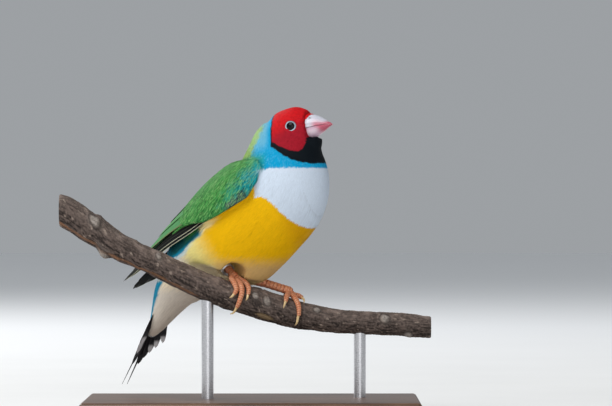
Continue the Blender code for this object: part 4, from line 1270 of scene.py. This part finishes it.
def eye_ball(name, side, finish):
    """A dark eye, its pupil facing out."""
    around, rings = 48, 34
    verts = []
    tints = []
    for r in range(rings):
        tip = pi * (r + 0.5) / rings
        for turn in turns(around):
            wide = sin(tip)
            verts.append((wide * cos(turn), side * cos(tip), wide * sin(turn)))
            tints.append(PUPIL_TINT if EYE_RADIUS * wide < PUPIL else IRIS_TINT)
    verts += [(0, side, 0), (0, -side, 0)]
    tints += [(0.002, 0.002, 0.003)] * 2
    middle = Vector((EYE_SPOT.x, side * EYE_SPOT.y, EYE_SPOT.z))
    points = [HEAD_FRAME @ (middle + Vector(v) * EYE_RADIUS) for v in verts]
    obj = solid(name, points, tube_faces(rings, around), finish, tints)
    return placed(obj, "eye", "eye_" + ("left" if side > 0 else "right"))


def eye_lid(name, side, finish):
    """The ring of bare lid round an eye, with fine folds across it; its pale part is painted lighter
    towards the lower rear, and lighter on the folds' crests than in their troughs, as painted light and
    shade.
    """
    around = 96
    verts = []
    tints = []
    for turn in turns(around):
        for k, (far, out) in enumerate(LID_SECTION):
            fold = 0.020 * sin(30 * turn + 2 * sin(3 * turn)) if 1 < k < 6 else 0.0
            thin = 1 - 0.05 * max(sin(turn), 0.0) if k > 3 else 1.0
            ahead = 0.001 * far * thin * 1.03 * cos(turn)
            out = 0.001 * (out + fold) - EYE_SPOT.y
            verts.append((
                EYE_SPOT.x + ahead * cos(EYE_TURN) + out * sin(EYE_TURN),
                side * (EYE_SPOT.y + out * cos(EYE_TURN) - ahead * sin(EYE_TURN)),
                EYE_SPOT.z + 0.001 * far * thin * 0.97 * sin(turn),
            ))
            # Painted light and shade: the pale ring is lighter towards the lower rear, and each fold is
            # lighter where it stands out and darker where it sinks.
            lower = 0.62 + 0.38 * cos(turn - radians(230))
            pale = np.array(LID_PALE) * (0.55 + 0.65 * lower) * (1.0 + 7 * fold)
            tints.append(LID_INNER if k < 2 else LID_OUTER if k > 5 else pale)
    points = through(np.array(HEAD_FRAME), np.array(verts))
    return placed(solid(name, points, hoop_faces(around, len(LID_SECTION)), finish, tints), "eye")


def make_eyes():
    ball = Shader("eye", roughness=0.12, Specular_IOR_Level=0.10, Coat_Weight=0.12, Coat_Roughness=0.03)
    grain = ball.noise(ball.place(), 2600.0)
    ball.colour(ball.darker(ball.tint(), grain, 0.6))
    lid = Shader("eye_lid", roughness=0.42, Specular_IOR_Level=0.45)
    grain = lid.noise(lid.place(), 5200.0)
    lid.colour(lid.darker(lid.tint(), grain, 0.75))
    lid.bump(grain, 0.4, 0.00008)
    for side, word in SIDES:
        eye_ball("eye_ball_" + word, side, ball.material)
        eye_lid("eye_lid_" + word, side, lid.material)


# Bill: stations in the head's frame, as in the part's source: x, ridge, mouth, lower edge, half width
BILL = (
    (0.0050, 0.0032, -0.0018, -0.0060, 0.0039),
    (0.0070, 0.0027, -0.0018, -0.0055, 0.0035),
    (0.0090, 0.0017, -0.0017, -0.0046, 0.0029),
    (0.0108, 0.0004, -0.0017, -0.0038, 0.0021),
    (0.0122, -0.0008, -0.0019, -0.0031, 0.0014),
    (0.0132, -0.0016, -0.0021, -0.0027, 0.0007),
    (0.0138, -0.0022, -0.0026, -0.0026, 0.0002),
)
NOSTRIL = (0.0064, 0.0026, 0.0017)
NOSTRIL_SIZE = (0.00042, 0.0005, 0.0004)
MOUTH_GAP = 0.00012
LOWER_REACH = 0.93      # share of the upper half's length that the lower half has
ROOT_STEP = 0.0004      # the first rings reach back into the head by steps of this
GROWTH_LINE = 0.00002
LIP_NOTCH = 0.045       # how far the cutting edge is drawn in, as a share of the width
HORN = (0.58, 0.585, 0.66)
HORN_ROSE = (0.54, 0.14, 0.20)
HORN_RED = (0.52, 0.09, 0.14)
HORN_TIP = (0.70, 0.34, 0.36)
LOWER_HORN = (0.58, 0.40, 0.50)
LOWER_RED = (0.46, 0.07, 0.12)
LOWER_BILL_HIGHLIGHT = (0.66, 0.54, 0.60)


def bill_half(name, upper, finish):
    """One half of the bill, with its growth lines, cutting edge and, above, the nostrils."""
    arch, floor, rings = 56, 16, 90
    way = 1 if upper else -1
    verts = []
    tints = []
    for r in range(rings):
        t = r / (rings - 1) * (1.0 if upper else LOWER_REACH)
        x, ridge, mouth, lower, half = at(BILL, t * (len(BILL) - 1))
        x -= ROOT_STEP * max(3 - r, 0)
        line = GROWTH_LINE * sin(x * MM * 13.0)
        top = ridge if upper else lower
        base = mouth if upper else mouth - MOUTH_GAP
        width = half if upper else 0.94 * half
        for k in range(arch + floor):
            if k < arch:
                turn = pi * (k / (arch - 1) - 0.5)
                lip = 1 - LIP_NOTCH * exp(-((abs(turn) - 1.46) / 0.10) ** 2)
                level = base + (top - base) * cos(turn) ** 0.9
                spot = Vector((x, width * lip * sin(turn), level))
                out = Vector((0.25, sin(turn), way * cos(turn))).normalized()
                spot += out * line * min(1.0, (1 - t) * 3)
                rise = cos(turn)
            else:
                q = (k - arch + 1) / (floor + 1)
                level = base + 0.00012 * way * sin(pi * q)
                spot = Vector((x, width * 0.95 * (1 - 2 * q), level))
                rise = -0.1
            pit = 0.0
            if upper:
                far = (x - NOSTRIL[0], abs(spot.y) - NOSTRIL[1], spot.z - NOSTRIL[2])
                pit = exp(-sum((d / size) ** 2 for d, size in zip(far, NOSTRIL_SIZE)))
                spot.y -= copysign(0.0004 * pit, spot.y)
                spot.z -= 0.00015 * pit
            verts.append(spot)
            tints.append(bill_colour(upper, t, rise, pit))
    verts += [Vector((verts[0].x, 0, -0.0015 if upper else -0.0045)), verts[-1] + Vector((0.00005, 0, 0))]
    tints += [tints[0], tints[-1]]
    points = through(np.array(HEAD_FRAME), np.array([tuple(v) for v in verts]))
    obj = solid(name, points, tube_faces(rings, arch + floor), finish, tints)
    return placed(obj, "bill", name.replace("bill_horn", "bill"))


def bill_colour(upper, t, rise, pit):
    """White with a lilac cast, rose along the mouth and red towards the tip, with a painted highlight on
    the lower half's side near its root and painted shade in the nostrils.
    """
    share = np.array([t])
    if upper:
        colour = painted(
            flat(HORN, share),
            (HORN_ROSE, smooth(share, 0.05, 0.3) * float(bell(rise, 0.0, 0.42))),
            (HORN_RED, smooth(share + 0.14 * (1 - rise), 0.55, 0.82)),
            (HORN_TIP, smooth(share, 0.94, 1.0)),
        )
    else:
        colour = painted(
            flat(LOWER_HORN, share),
            (LOWER_RED, smooth(share - 0.12 * rise, 0.12, 0.40)),
            # Painted highlight on the lower half's side near its root.
            (LOWER_BILL_HIGHLIGHT, float(bell(rise, 0.45, 0.22)) * fades(share, 0.2, 0.4) * 0.7),
        )
    # Painted shade: the bill is darker in the nostrils' dents.
    return colour[0] * (1 - 0.75 * pit)


def make_bill():
    s = Shader("bill", roughness=0.30, Specular_IOR_Level=0.5, Coat_Weight=0.25, Coat_Roughness=0.2)
    grain = s.noise(s.stretched(s.place(), (1.0, 1.0, 2.5)), 1500.0, 4.0)
    s.colour(s.darker(s.tint(), s.times(grain, 0.35), 0.75))
    s.rough(grain, 0.18, 0.20)
    s.bump(grain, 0.25, 0.0001)
    upper = bill_half("bill_horn_upper", True, s.material)
    bill_half("bill_horn_lower", False, s.material)
    return upper


FRONTLET_DENSITY = 6.0e7    # feathers per square metre
FRONTLET_WIDTH = 0.0003
FRONTLET_LIFT = 0.00022


def frontlet(upper):
    """Short red feathers that run on over the root of the bill's ridge."""
    surface = Surface(upper)
    h = through(HEAD_BACK, surface.middles)
    wanted = (h[:, 2] > 0.0012) & (h[:, 0] < 0.0070 - 0.55 * np.abs(h[:, 1]))
    roots, normals = surface.roots(np.where(wanted, FRONTLET_DENSITY, 0.0))
    count = len(roots)
    ways = flat(np.array(HEAD_FRAME)[:3, :3] @ np.array((-1.0, 0.0, 0.25)), roots)
    ways = ways + RNG.normal(0.0, 0.06, roots.shape)
    colours = flat(SCARLET, roots) * RNG.uniform(0.85, 1.1, (count, 1))
    lengths = RNG.uniform(0.0007, 0.0011, count)
    piece = coat(
        "coat_frontlet", surface, roots, normals, ways, lengths, np.full(count, FRONTLET_WIDTH),
        np.full(count, FRONTLET_LIFT), colours, unwrap(roots), plumage_finish("frontlet_plumage"),
    )
    return placed(piece, "red_feathers")


# Branch
def perch_line(x):
    """The branch's middle at x, and its radius there."""
    low = 0
    while low < len(PERCH) - 2 and x > PERCH[low + 1][0]:
        low += 1
    share = (x - PERCH[low][0]) / (PERCH[low + 1][0] - PERCH[low][0])
    _, z, radius = at(PERCH, low + share)
    return Vector((x, (x - STANCE_X) * tan(radians(PERCH_YAW)), z)), radius


def perch_point(x, angle, height, share=1.0):
    """A point over the bark: x along the branch, degrees from its top towards -Y, and a height."""
    centre, radius = perch_line(x)
    ahead = (perch_line(x + 0.001)[0] - perch_line(x - 0.001)[0]).normalized()
    up = Vector((0.0, 0.0, 1.0 / sqrt(1 - ahead.z ** 2)))
    near = Vector((0.0, -1.0 / sqrt(1 - ahead.y ** 2), 0.0))
    turn = radians(angle)
    return centre + share * (radius + height) * (cos(turn) * up + sin(turn) * near)


# Buds and leaf scars: x, angle, length along, width round in degrees, height
KNOTS = (
    (-0.0574, 56.0, 0.0016, 20.0, 0.00110), (-0.0545, 165.0, 0.0020, 26.0, 0.00120),
    (-0.0340, 50.0, 0.0010, 16.0, 0.00060), (0.0012, 60.0, 0.0011, 11.0, 0.00050),
    (0.0056, 68.0, 0.0011, 15.0, 0.00055), (0.0240, 48.0, 0.0011, 13.0, 0.00060),
    (0.0492, 60.0, 0.0014, 20.0, 0.00080), (0.0420, -70.0, 0.0016, 24.0, 0.00090),
    (-0.0230, -95.0, 0.0018, 26.0, 0.00100), (0.0580, 150.0, 0.0013, 22.0, 0.00070),
)
BARK_IN = 0.00012       # how far the bark's mean lies under the part's solid
CRACK = 0.12            # noise below this is a crack in the bark
RING = 0.05             # and below this a ring round it
SPECK = 0.50            # noise above this is a pale speck
PEEL_END = -0.0190      # the strip of peeled bark runs along the underside from the left end to here
BARK = (0.160, 0.118, 0.100)
BARK_DARK = (0.040, 0.030, 0.026)
BARK_PALE_AND_LIT_TOP = (0.36, 0.275, 0.235)
PEELED = (0.34, 0.165, 0.085)
WOOD = (0.52, 0.36, 0.20)
WOOD_RING = (0.30, 0.18, 0.09)
SPECK_TINT = (0.42, 0.33, 0.27)
PATCH = (0.40, 0.28, 0.15)
SCAR = (0.62, 0.56, 0.50)


def clamped(value):
    """The value held between 0 and 1."""
    return min(max(value, 0.0), 1.0)


def noise_at(x, y, z):
    return noise.noise(Vector((x, y, z)))


def bark_relief(x, angle):
    """Height of the bark and its colour at a place on the branch."""
    turn = radians(angle)
    spot = Vector((x, 0.005 * cos(turn), 0.005 * sin(turn)))
    lump = noise.noise(spot / 0.0048)
    fibre = noise_at(spot.x / 0.0042, spot.y / 0.00055, spot.z / 0.00055)
    crack = max(CRACK - abs(noise_at(spot.x / 0.0060 + 7, spot.y / 0.0011, spot.z / 0.0011)), 0.0)
    ring = max(RING - abs(noise_at(spot.x / 0.0009, spot.y / 0.006, spot.z / 0.006 + 5)), 0.0)
    grain = noise.noise(spot / 0.0007)
    height = 0.00026 * lump + 0.00016 * fibre - 0.00034 * crack / CRACK + 0.00008 * grain
    height -= 0.00008 * ring / RING
    tone = 0.5 + 0.40 * lump + 1.0 * fibre + 0.6 * grain - 0.6 * crack / CRACK
    colour = Vector(BARK_DARK).lerp(Vector(BARK), clamped(tone * 1.25))
    # Painted light: the bark is paler on its upper side, turned a little towards -Y, in blotches; the pale
    # flecks from the grain are the bark's own.
    top = max(cos(turn - 0.35), 0.0) ** 1.5
    pale = top * (0.25 + 0.9 * max(noise.noise(spot / 0.0026 + Vector((3, 3, 3))), 0.0))
    colour = colour.lerp(Vector(BARK_PALE_AND_LIT_TOP), min(pale + 0.25 * max(grain, 0.0), 1.0))
    speck = noise.noise(Vector((spot.x / 0.0016, spot.y / 0.0010, spot.z / 0.0010)) + Vector((11, 0, 0)))
    if speck > SPECK:
        colour = colour.lerp(Vector(SPECK_TINT), min((speck - SPECK) * 8, 0.8))
        height += 0.00008 * min((speck - SPECK) * 8, 1.0)

    # Bare wood: a strip along the underside, and a patch by the foot
    middle = 146 + 8 * noise_at(x / 0.012, 0, 0)
    strip = 1 - abs((angle % 360) - middle) / (10 + 7 * noise_at(x / 0.004, 4, 0))
    strip = clamped(strip * 3) * clamped((PEEL_END - x) / 0.003)
    patch = 1 - hypot((x - 0.0046) / 0.0042, ((angle % 360) - 138) / 17) - 0.5 * max(fibre, 0.0)
    patch = clamped(patch * 3 + 0.8 * grain)
    colour = colour.lerp(Vector(PEELED), 0.85 * strip * (0.75 + 0.5 * fibre))
    colour = colour.lerp(Vector(PATCH), 0.7 * patch)
    height = height * (1 - 0.6 * max(strip, patch)) - 0.00016 * max(strip, patch)

    # Buds and leaf scars: a knob with a dimple and a dark collar
    for place, around, along, wide, high in KNOTS:
        away = (angle - around + 180) % 360 - 180
        far = hypot((x - place) / along, away / wide)
        if far < 2.2:
            dome = exp(-far * far)
            dimple = exp(-(far / 0.35) ** 2)
            collar = exp(-((far + 0.5 * lump - 1.3) / 0.22) ** 2)
            height += high * (dome - 0.35 * dimple) * (1 + 0.5 * grain)
            colour = colour.lerp(Vector(SCAR), 0.85 * dome * (0.8 + 0.6 * fibre))
            colour = colour.lerp(Vector(BARK_DARK), 0.65 * collar)
            colour = colour.lerp(Vector(BARK), 0.5 * dimple)
    return height, colour


CUT_SHARES = (0.02, 0.25, 0.5, 0.75, 0.93)      # rings on a cut face, as shares of the branch's radius


def cut_face(place, shares, angles):
    """Points and tints of the wood at an end of the branch."""
    for share in shares:
        for angle in angles:
            band = 0.5 + 0.5 * sin(share * 40 + noise_at(cos(angle), share, 1))
            core = Vector(WOOD).lerp(Vector(WOOD_RING), 0.5 * band)
            tint = core.lerp(Vector(BARK_DARK), 1.0 if share > 0.9 else 0.0)
            yield perch_point(place, angle, -BARK_IN - 0.0001, share), tint


def make_branch():
    around, rings = 104, 560
    first, last = PERCH[0][0], PERCH[-1][0]
    angles = [360 * n / around for n in range(around)]
    points = list(cut_face(first, CUT_SHARES, angles))
    for r in range(rings):
        x = first + (last - first) * r / (rings - 1)
        round_off = 0.0004 * exp(-min(x - first, last - x) / 0.0003)
        for angle in angles:
            height, colour = bark_relief(x, angle)
            points.append((perch_point(x, angle, height - BARK_IN - round_off), colour))
    points += cut_face(last, CUT_SHARES[::-1], angles)
    points += [(perch_line(place)[0], Vector(WOOD)) for place in (first, last)]
    s = Shader("bark", roughness=0.88, Specular_IOR_Level=0.2)
    fine = s.noise(s.stretched(s.place(), (0.35, 1.0, 1.0)), 2400.0, 5.0)
    coarse = s.noise(s.place(), 520.0, 4.0)
    base = s.darker(s.tint(), s.times(fine, 1.3), 0.42)
    s.colour(s.darker(base, s.times(coarse, 0.5), 1.5))
    s.bump(s.math("ADD", fine, coarse), 0.7, 0.00035)
    faces = tube_faces(rings + 2 * len(CUT_SHARES), around)
    obj = solid("branch", [p for p, _ in points], faces, s.material, [tint for _, tint in points])
    return placed(obj, "bark", "perch")


# Feet, as in the part's source: each toe is a line of points on the bark
HUB_RADIUS = 0.0017
TARSUS = 0.0140
TARSUS_RADIUS = 0.00138
TOE_RADII = (0.00118, 0.00082)
FOOT_GAP = 0.0003
FEET = {
    "right": {
        "hub_x": -0.0066, "hub_lift": 0.0020, "heading": 59.0, "rise": 31.0,
        "toes": (
            ((-0.0008, 14.0, 0.0015), (0.0002, 40.0, 0.0014), (0.0010, 62.0, 0.0013),
             (0.0002, 79.0, 0.0013)),
            ((0.0006, 6.0, 0.0015), (0.0024, 38.0, 0.0014), (0.0030, 66.0, 0.0014), (0.0022, 95.0, 0.0013),
             (0.0012, 120.0, 0.0012)),
            ((0.0022, 6.0, 0.0015), (0.0040, 18.0, 0.0013), (0.0054, 44.0, 0.0012),
             (0.0053, 70.0, 0.0012)),
            ((-0.0004, -12.0, 0.0014), (-0.0012, -40.0, 0.0013), (-0.0016, -75.0, 0.0012)),
        ),
        "claws": (
            ((-0.0006, 88.0, 0.0014), (-0.0016, 95.0, 0.0009)),
            ((0.0000, 142.0, 0.0016), (-0.0014, 160.0, 0.0015)),
            ((0.0050, 80.0, 0.0014), (0.0044, 90.0, 0.0009)),
            ((-0.0018, -93.0, 0.0015), (-0.0018, -112.0, 0.0009)),
        ),
    },
    "left": {
        "hub_x": 0.0137, "hub_lift": 0.0021, "heading": 9.0, "rise": 17.0,
        "toes": (
            ((-0.0002, 12.0, 0.0015), (-0.0008, 34.0, 0.0013), (-0.0012, 56.0, 0.0012)),
            ((0.0010, 8.0, 0.0015), (0.0025, 34.0, 0.0014), (0.0036, 62.0, 0.0013),
             (0.0037, 90.0, 0.0012)),
            ((0.0016, 2.0, 0.0015), (0.0036, 2.0, 0.0017), (0.0050, 8.0, 0.0014)),
            ((-0.0006, -12.0, 0.0014), (-0.0014, -42.0, 0.0013), (-0.0018, -78.0, 0.0012)),
        ),
        "claws": (
            ((-0.0016, 68.0, 0.0014), (-0.0020, 80.0, 0.0009)),
            ((0.0030, 112.0, 0.0015), (0.0022, 130.0, 0.0010)),
            ((0.0055, 22.0, 0.0014), (0.0056, 38.0, 0.0009)),
            ((-0.0020, -96.0, 0.0015), (-0.0020, -114.0, 0.0009)),
        ),
    },
}
SCALE_TONES = ((0.60, 0.18, 0.070), (0.80, 0.42, 0.24), (0.20, 0.036, 0.020), (0.56, 0.19, 0.095))
CLAW_ROOT = (0.66, 0.34, 0.13)
CLAW_MIDDLE = (0.76, 0.55, 0.28)
CLAW_TIP = (0.30, 0.19, 0.10)


class Limbs:
    """Tubes gathered into one mesh."""

    def __init__(self):
        self.verts = []
        self.tints = []
        self.faces = []

    def add(self, line, radii, rings, around, dorsal_of, relief):
        """A tube along points. dorsal_of gives its upper side, and relief its height and colour there."""
        base = len(self.verts)
        knots = [tuple(p) for p in line]
        last = len(knots) - 1
        far = 0.0
        before = None
        for share in steps(rings):
            t = share * last
            point = Vector(at(knots, t))
            ahead = Vector(at(knots, min(t + 0.05, last))) - Vector(at(knots, max(t - 0.05, 0)))
            ahead.normalize()
            far += (point - before).length if before else 0.0
            before = point
            up = dorsal_of(point)
            up = (up - ahead * up.dot(ahead)).normalized()
            across = ahead.cross(up)
            radius = float(np.interp(t, range(len(radii)), radii))
            for turn in turns(around):
                height, colour = relief(far, turn, share)
                out = cos(turn) * up + sin(turn) * across
                self.verts.append(point + (radius + height) * out)
                self.tints.append(colour)
        self.verts += [line[0], Vector(at(knots, last)) + ahead * radii[-1] * 0.5]
        self.tints += [self.tints[base], self.tints[base + rings * around - 1]]
        self.faces.append(tube_faces(rings, around) + base)

    def done(self, name, finish):
        return solid(name, self.verts, np.concatenate(self.faces), finish, self.tints)


def scutes(pitch, seed):
    """Broad overlapping plates along the upper side, and small grains and pads below."""
    def relief(far, turn, _):
        plate = (far / pitch + 0.06 * sin(turn * 2 + seed)) % 1.0
        top = clamped((cos(turn) + 0.15) / 0.4)
        groove = exp(-(min(plate, 1 - plate) / 0.11) ** 2)
        grains = noise_at(far / 0.00036 + seed, 2.6 * cos(turn), 2.6 * sin(turn))
        pad = max(sin(2 * pi * far / 0.0021 + seed), 0.0) * max(-cos(turn), 0.0)
        height = top * (0.00007 * plate - 0.00010 * groove) + (1 - top) * 0.00005 * grains + 0.00010 * pad
        rosy, pale, deep, sole = (Vector(c) for c in SCALE_TONES)
        colour = sole.lerp(rosy.lerp(pale, clamped(0.10 + 0.55 * plate + 0.9 * grains)), top)
        colour = colour.lerp(deep, min(0.8 * top * groove + (1 - top) * max(-grains, 0.0), 1.0))
        return height, colour
    return relief


def smooth_horn(_far, _turn, share):
    """A claw's colour from root to tip, without relief."""
    colour = Vector(CLAW_ROOT).lerp(Vector(CLAW_MIDDLE), min(share * 3, 1.0))
    return 0.0, colour.lerp(Vector(CLAW_TIP), max(share - 0.7, 0.0) * 2.2)


def from_branch(point):
    """Away from the branch's middle at a point."""
    return point - perch_line(point.x)[0]


def hub_and_back(foot):
    """The middle of the foot, and the direction from it back to the heel."""
    hub = perch_point(foot["hub_x"], 0.0, foot["hub_lift"] + FOOT_GAP)
    turn = radians(foot["heading"])
    rise = radians(foot["rise"])
    return hub, Vector((-cos(turn) * cos(rise), sin(turn) * cos(rise), sin(rise)))


TOE_TIP = 0.00066
CLAW_RADII = (0.00056, 0.00040, 0.00010)
TARSUS_SHAPE = (1.02, 1.0, 1.0, 1.22, 0.95)     # shares of the tarsus's radius from the foot to the heel
LEFT_THICKER = 1.12
TARSUS_FRONT = Vector((0.3, -0.6, 1.0))


def foot_finishes():
    """Materials of the legs' skin and of the claws."""
    skin = Shader("leg_skin", roughness=0.46, Specular_IOR_Level=0.4)
    grain = skin.noise(skin.place(), 3600.0, 4.0)
    skin.colour(skin.darker(skin.tint(), skin.times(grain, 0.7), 0.62))
    skin.rough(grain, 0.25, 0.32)
    skin.bump(grain, 0.4, 0.00012)
    horn = Shader("claw", roughness=0.28, Specular_IOR_Level=0.5)
    lines = horn.noise(horn.place(), 2600.0)
    horn.colour(horn.darker(horn.tint(), lines, 0.7))
    horn.bump(lines, 0.2, 0.0001)
    return skin.material, horn.material


def make_feet():
    skin, horn = foot_finishes()
    for n, (word, foot) in enumerate(FEET.items()):
        hub, back = hub_and_back(foot)
        toes = Limbs()
        claws = Limbs()
        for m, (toe, claw) in enumerate(zip(foot["toes"], foot["claws"])):
            line = [hub + from_branch(hub).normalized() * 0.0001]
            line += [perch_point(foot["hub_x"] + s, angle, lift) for s, angle, lift in toe]
            radii = [TOE_RADII[0] + (TOE_RADII[1] - TOE_RADII[0]) * t for t in steps(len(line))]
            radii[-1] = TOE_TIP
            toes.add(line, radii, 120, 28, from_branch, scutes(0.00082, 1.7 * m + n))
            tip = [line[-1] + (line[-2] - line[-1]) * 0.35]
            tip += [perch_point(foot["hub_x"] + s, angle, lift) for s, angle, lift in claw]
            claws.add(tip, CLAW_RADII, 40, 18, from_branch, smooth_horn)
        ball = [hub - back * 0.0013, hub, hub + back * 0.0012]
        toes.add(ball, [0.0010, HUB_RADIUS * 0.96, 0.0014], 40, 32, from_branch, scutes(0.0009, 5.0))
        placed(toes.done("toes_" + word, skin), "leg_skin", "foot_" + word)
        placed(claws.done("claws_" + word, horn), "leg_skin")
        shank = Limbs()
        line = [hub + back * d for d in (0.0004, 0.004, 0.009, TARSUS - 0.002, TARSUS)]
        thicker = LEFT_THICKER if word == "left" else 1.0
        radii = [TARSUS_RADIUS * share * thicker for share in TARSUS_SHAPE]
        shank.add(line, radii, 170, 32, lambda _: TARSUS_FRONT, scutes(0.0014, 2.0 + n))
        placed(shank.done("shank_" + word, skin), "leg_skin", "leg_" + word)


# Band: distance from the hub to its middle, its length, and its radii
BAND_PLACE = (0.0060, 0.0028)
BAND_RADII = (0.0020, 0.0024)
BAND_ROUND = 0.00009    # radius of its rims
LEG_INSIDE = 0.0013     # radius of the tarsus on which it hangs


def band_section():
    """The ring's section with rounded corners: distance from its middle line, and along it."""
    inner, outer = BAND_RADII
    half = BAND_PLACE[1] / 2
    section = []
    for far, along, turn in ((outer, half, 0), (outer, -half, 1), (inner, -half, 2), (inner, half, 3)):
        middle_far = far - BAND_ROUND if far == outer else far + BAND_ROUND
        middle_along = along - BAND_ROUND if along > 0 else along + BAND_ROUND
        for share in steps(5):
            corner = pi / 2 * (turn + share)
            section.append((
                middle_far + BAND_ROUND * cos(corner), middle_along - BAND_ROUND * sin(corner)
            ))
    return sorted(section, key=lambda p: atan2(p[1], p[0] - (inner + outer) / 2))


def make_band():
    """A plain ring with rounded rims, hanging on the tarsus."""
    hub, back = hub_and_back(FEET["right"])
    down = Vector((0.0, 0.0, -1.0))
    down = (down - back * down.dot(back)).normalized()
    side = back.cross(down)
    centre = hub + back * BAND_PLACE[0] + down * (BAND_RADII[0] - LEG_INSIDE - FOOT_GAP)
    around = 96
    section = band_section()
    points = []
    for turn in turns(around):
        out = cos(turn) * down + sin(turn) * side
        points += [centre + out * far + back * along for far, along in section]
    s = Shader("ring", roughness=0.34, Metallic=0.85)
    scratch = s.noise(s.place(), 1800.0, 5.0)
    s.colour(s.ramp(scratch, ((0.2, (0.74, 0.75, 0.78)), (0.8, (0.93, 0.93, 0.95)))))
    s.rough(scratch, 0.25, 0.22)
    s.bump(scratch, 0.15, 0.00008)
    return placed(solid("ring", points, hoop_faces(around, len(section)), s.material), "band", "leg_band")


# Display stand
BASE_SIZE = (0.124, 0.078, 0.008)
BASE_BEVEL = 0.0015
ROD_RADIUS = 0.0022
ROD_PLACES = (-0.0163, 0.0400)
ROD_DEPTH = 0.0030      # how far a rod goes into the base and into the branch
ROD_RIM = 0.0001
STAND_SHARP = radians(40)
STAND_TONES = (
    (0.30, (0.060, 0.026, 0.012)), (0.50, (0.135, 0.062, 0.030)), (0.70, (0.215, 0.108, 0.052)),
)


def make_base():
    bm = bmesh.new()
    bmesh.ops.create_cube(bm, size=1.0)
    bmesh.ops.scale(bm, vec=BASE_SIZE, verts=bm.verts)
    bmesh.ops.translate(bm, vec=(0.0, 0.0, BASE_SIZE[2] / 2), verts=bm.verts)
    upper = [edge for edge in bm.edges if max(v.co.z for v in edge.verts) > 0.001]
    bmesh.ops.bevel(bm, geom=upper, offset=BASE_BEVEL, segments=8, profile=0.5, affect="EDGES")
    plinth = from_bmesh("plinth", bm)
    plinth.data.shade_smooth()
    plinth.data.set_sharp_from_angle(angle=STAND_SHARP)
    wood = Shader("stand_wood", roughness=0.4, Coat_Weight=0.35, Coat_Roughness=0.25)
    along = wood.stretched(wood.place(), (0.10, 1.0, 1.0))
    bands = wood.noise(along, 330.0, 6.0, 0.62)
    pores = wood.noise(wood.stretched(wood.place(), (0.05, 1.0, 1.0)), 2600.0, 3.0)
    tone = wood.ramp(bands, STAND_TONES)
    wood.colour(wood.darker(tone, wood.times(pores, 0.7), 0.55))
    wood.rough(pores, 0.25, 0.28)
    wood.bump(pores, 0.25, 0.0002)
    plinth.data.materials.append(wood.material)
    placed(plinth, "stand_wood", "stand_base")


def make_rods():
    steel = Shader("stand_metal", roughness=0.3, Metallic=1.0)
    brushed = steel.noise(steel.stretched(steel.place(), (1.0, 1.0, 14.0)), 700.0, 4.0)
    steel.colour(steel.ramp(brushed, ((0.3, (0.50, 0.50, 0.52)), (0.7, (0.66, 0.66, 0.68)))))
    steel.rough(brushed, 0.22, 0.18)
    steel.bump(brushed, 0.12, 0.0001)
    around = 64
    for n, x in enumerate(ROD_PLACES, 1):
        middle, radius = perch_line(x)
        low, high = BASE_SIZE[2] - ROD_DEPTH, middle.z - radius + ROD_DEPTH
        points = [
            (middle.x + ROD_RADIUS * cos(turn), middle.y + ROD_RADIUS * sin(turn), z)
            for z in (low, low + ROD_RIM, high - ROD_RIM, high)
            for turn in turns(around)
        ]
        points += [(middle.x, middle.y, z) for z in (low, high)]
        rod = solid("rod_" + str(n), points, tube_faces(4, around), steel.material)
        rod.data.set_sharp_from_angle(angle=STAND_SHARP)
        placed(rod, "stand_metal", "stand_rod_" + str(n))


# Floor, light and camera. Lamps: name, place, watts and size
LAMPS = (
    ("key", (-0.75, -1.0, 1.30), 24.0, 1.3), ("fill", (0.15, -1.45, 0.11), 4.2, 0.9),
    ("rim", (-0.9, 1.0, 1.0), 14.0, 0.8),
)
LAMP_AIM = (0.0, 0.0, 0.08)
SKY_TINT = (0.80, 0.84, 0.88, 1.0)
SKY_STRENGTH = 0.42
CAMERA_PLACE = (0.0200, -1.5, 0.0802)
SENSOR_WIDTH = 36.0
PICTURE_WIDTH = 0.2264      # of what the camera sees at the bird


def make_floor():
    bm = bmesh.new()
    bmesh.ops.create_circle(bm, cap_ends=True, segments=96, radius=5.0)
    floor = from_bmesh("floor", bm)
    s = Shader("floor", roughness=0.75, Specular_IOR_Level=0.2)
    # Painted light: the floor grows paler away from the middle, so that the far floor, which the lamps
    # light less, meets the sky without a line.
    near = s.ramp(s.noise(s.place(), 8.0), ((0.3, (0.80, 0.80, 0.79)), (0.7, (0.84, 0.84, 0.83))))
    away = s.node("ShaderNodeVectorMath", {0: s.place()}, operation="LENGTH").outputs["Value"]
    share = s.times(s.math("SUBTRACT", away, 0.3), 1.2)
    s.colour(s.blend(s.math("MINIMUM", s.math("MAXIMUM", share, 0.0), 1.0), near, (0.95, 0.96, 0.97)))
    floor.data.materials.append(s.material)


def studio():
    scene = bpy.context.scene
    scene.view_settings.view_transform = "Standard"
    scene.world = bpy.data.worlds.new("studio")
    scene.world.use_nodes = True
    background = scene.world.node_tree.nodes["Background"]
    background.inputs["Color"].default_value = SKY_TINT
    background.inputs["Strength"].default_value = SKY_STRENGTH
    for name, place, power, size in LAMPS:
        light = bpy.data.lights.new(name, "AREA")
        light.energy = power
        light.size = size
        lamp = linked(name, light)
        lamp.location = place
        lamp.rotation_euler = (Vector(LAMP_AIM) - Vector(place)).to_track_quat("-Z", "Y").to_euler()

    camera = bpy.data.cameras.new("camera")
    camera.sensor_width = SENSOR_WIDTH
    camera.lens = SENSOR_WIDTH * -CAMERA_PLACE[1] / PICTURE_WIDTH
    camera.clip_start = 0.01
    scene.camera = linked("camera", camera)
    scene.camera.location = CAMERA_PLACE
    scene.camera.rotation_euler = (radians(90.0), 0.0, 0.0)


make_floor()
studio()
make_wings()
make_tail()
make_eyes()
frontlet(make_bill())
make_feet()
make_band()
make_branch()
make_base()
make_rods()
body_coat(make_skin())
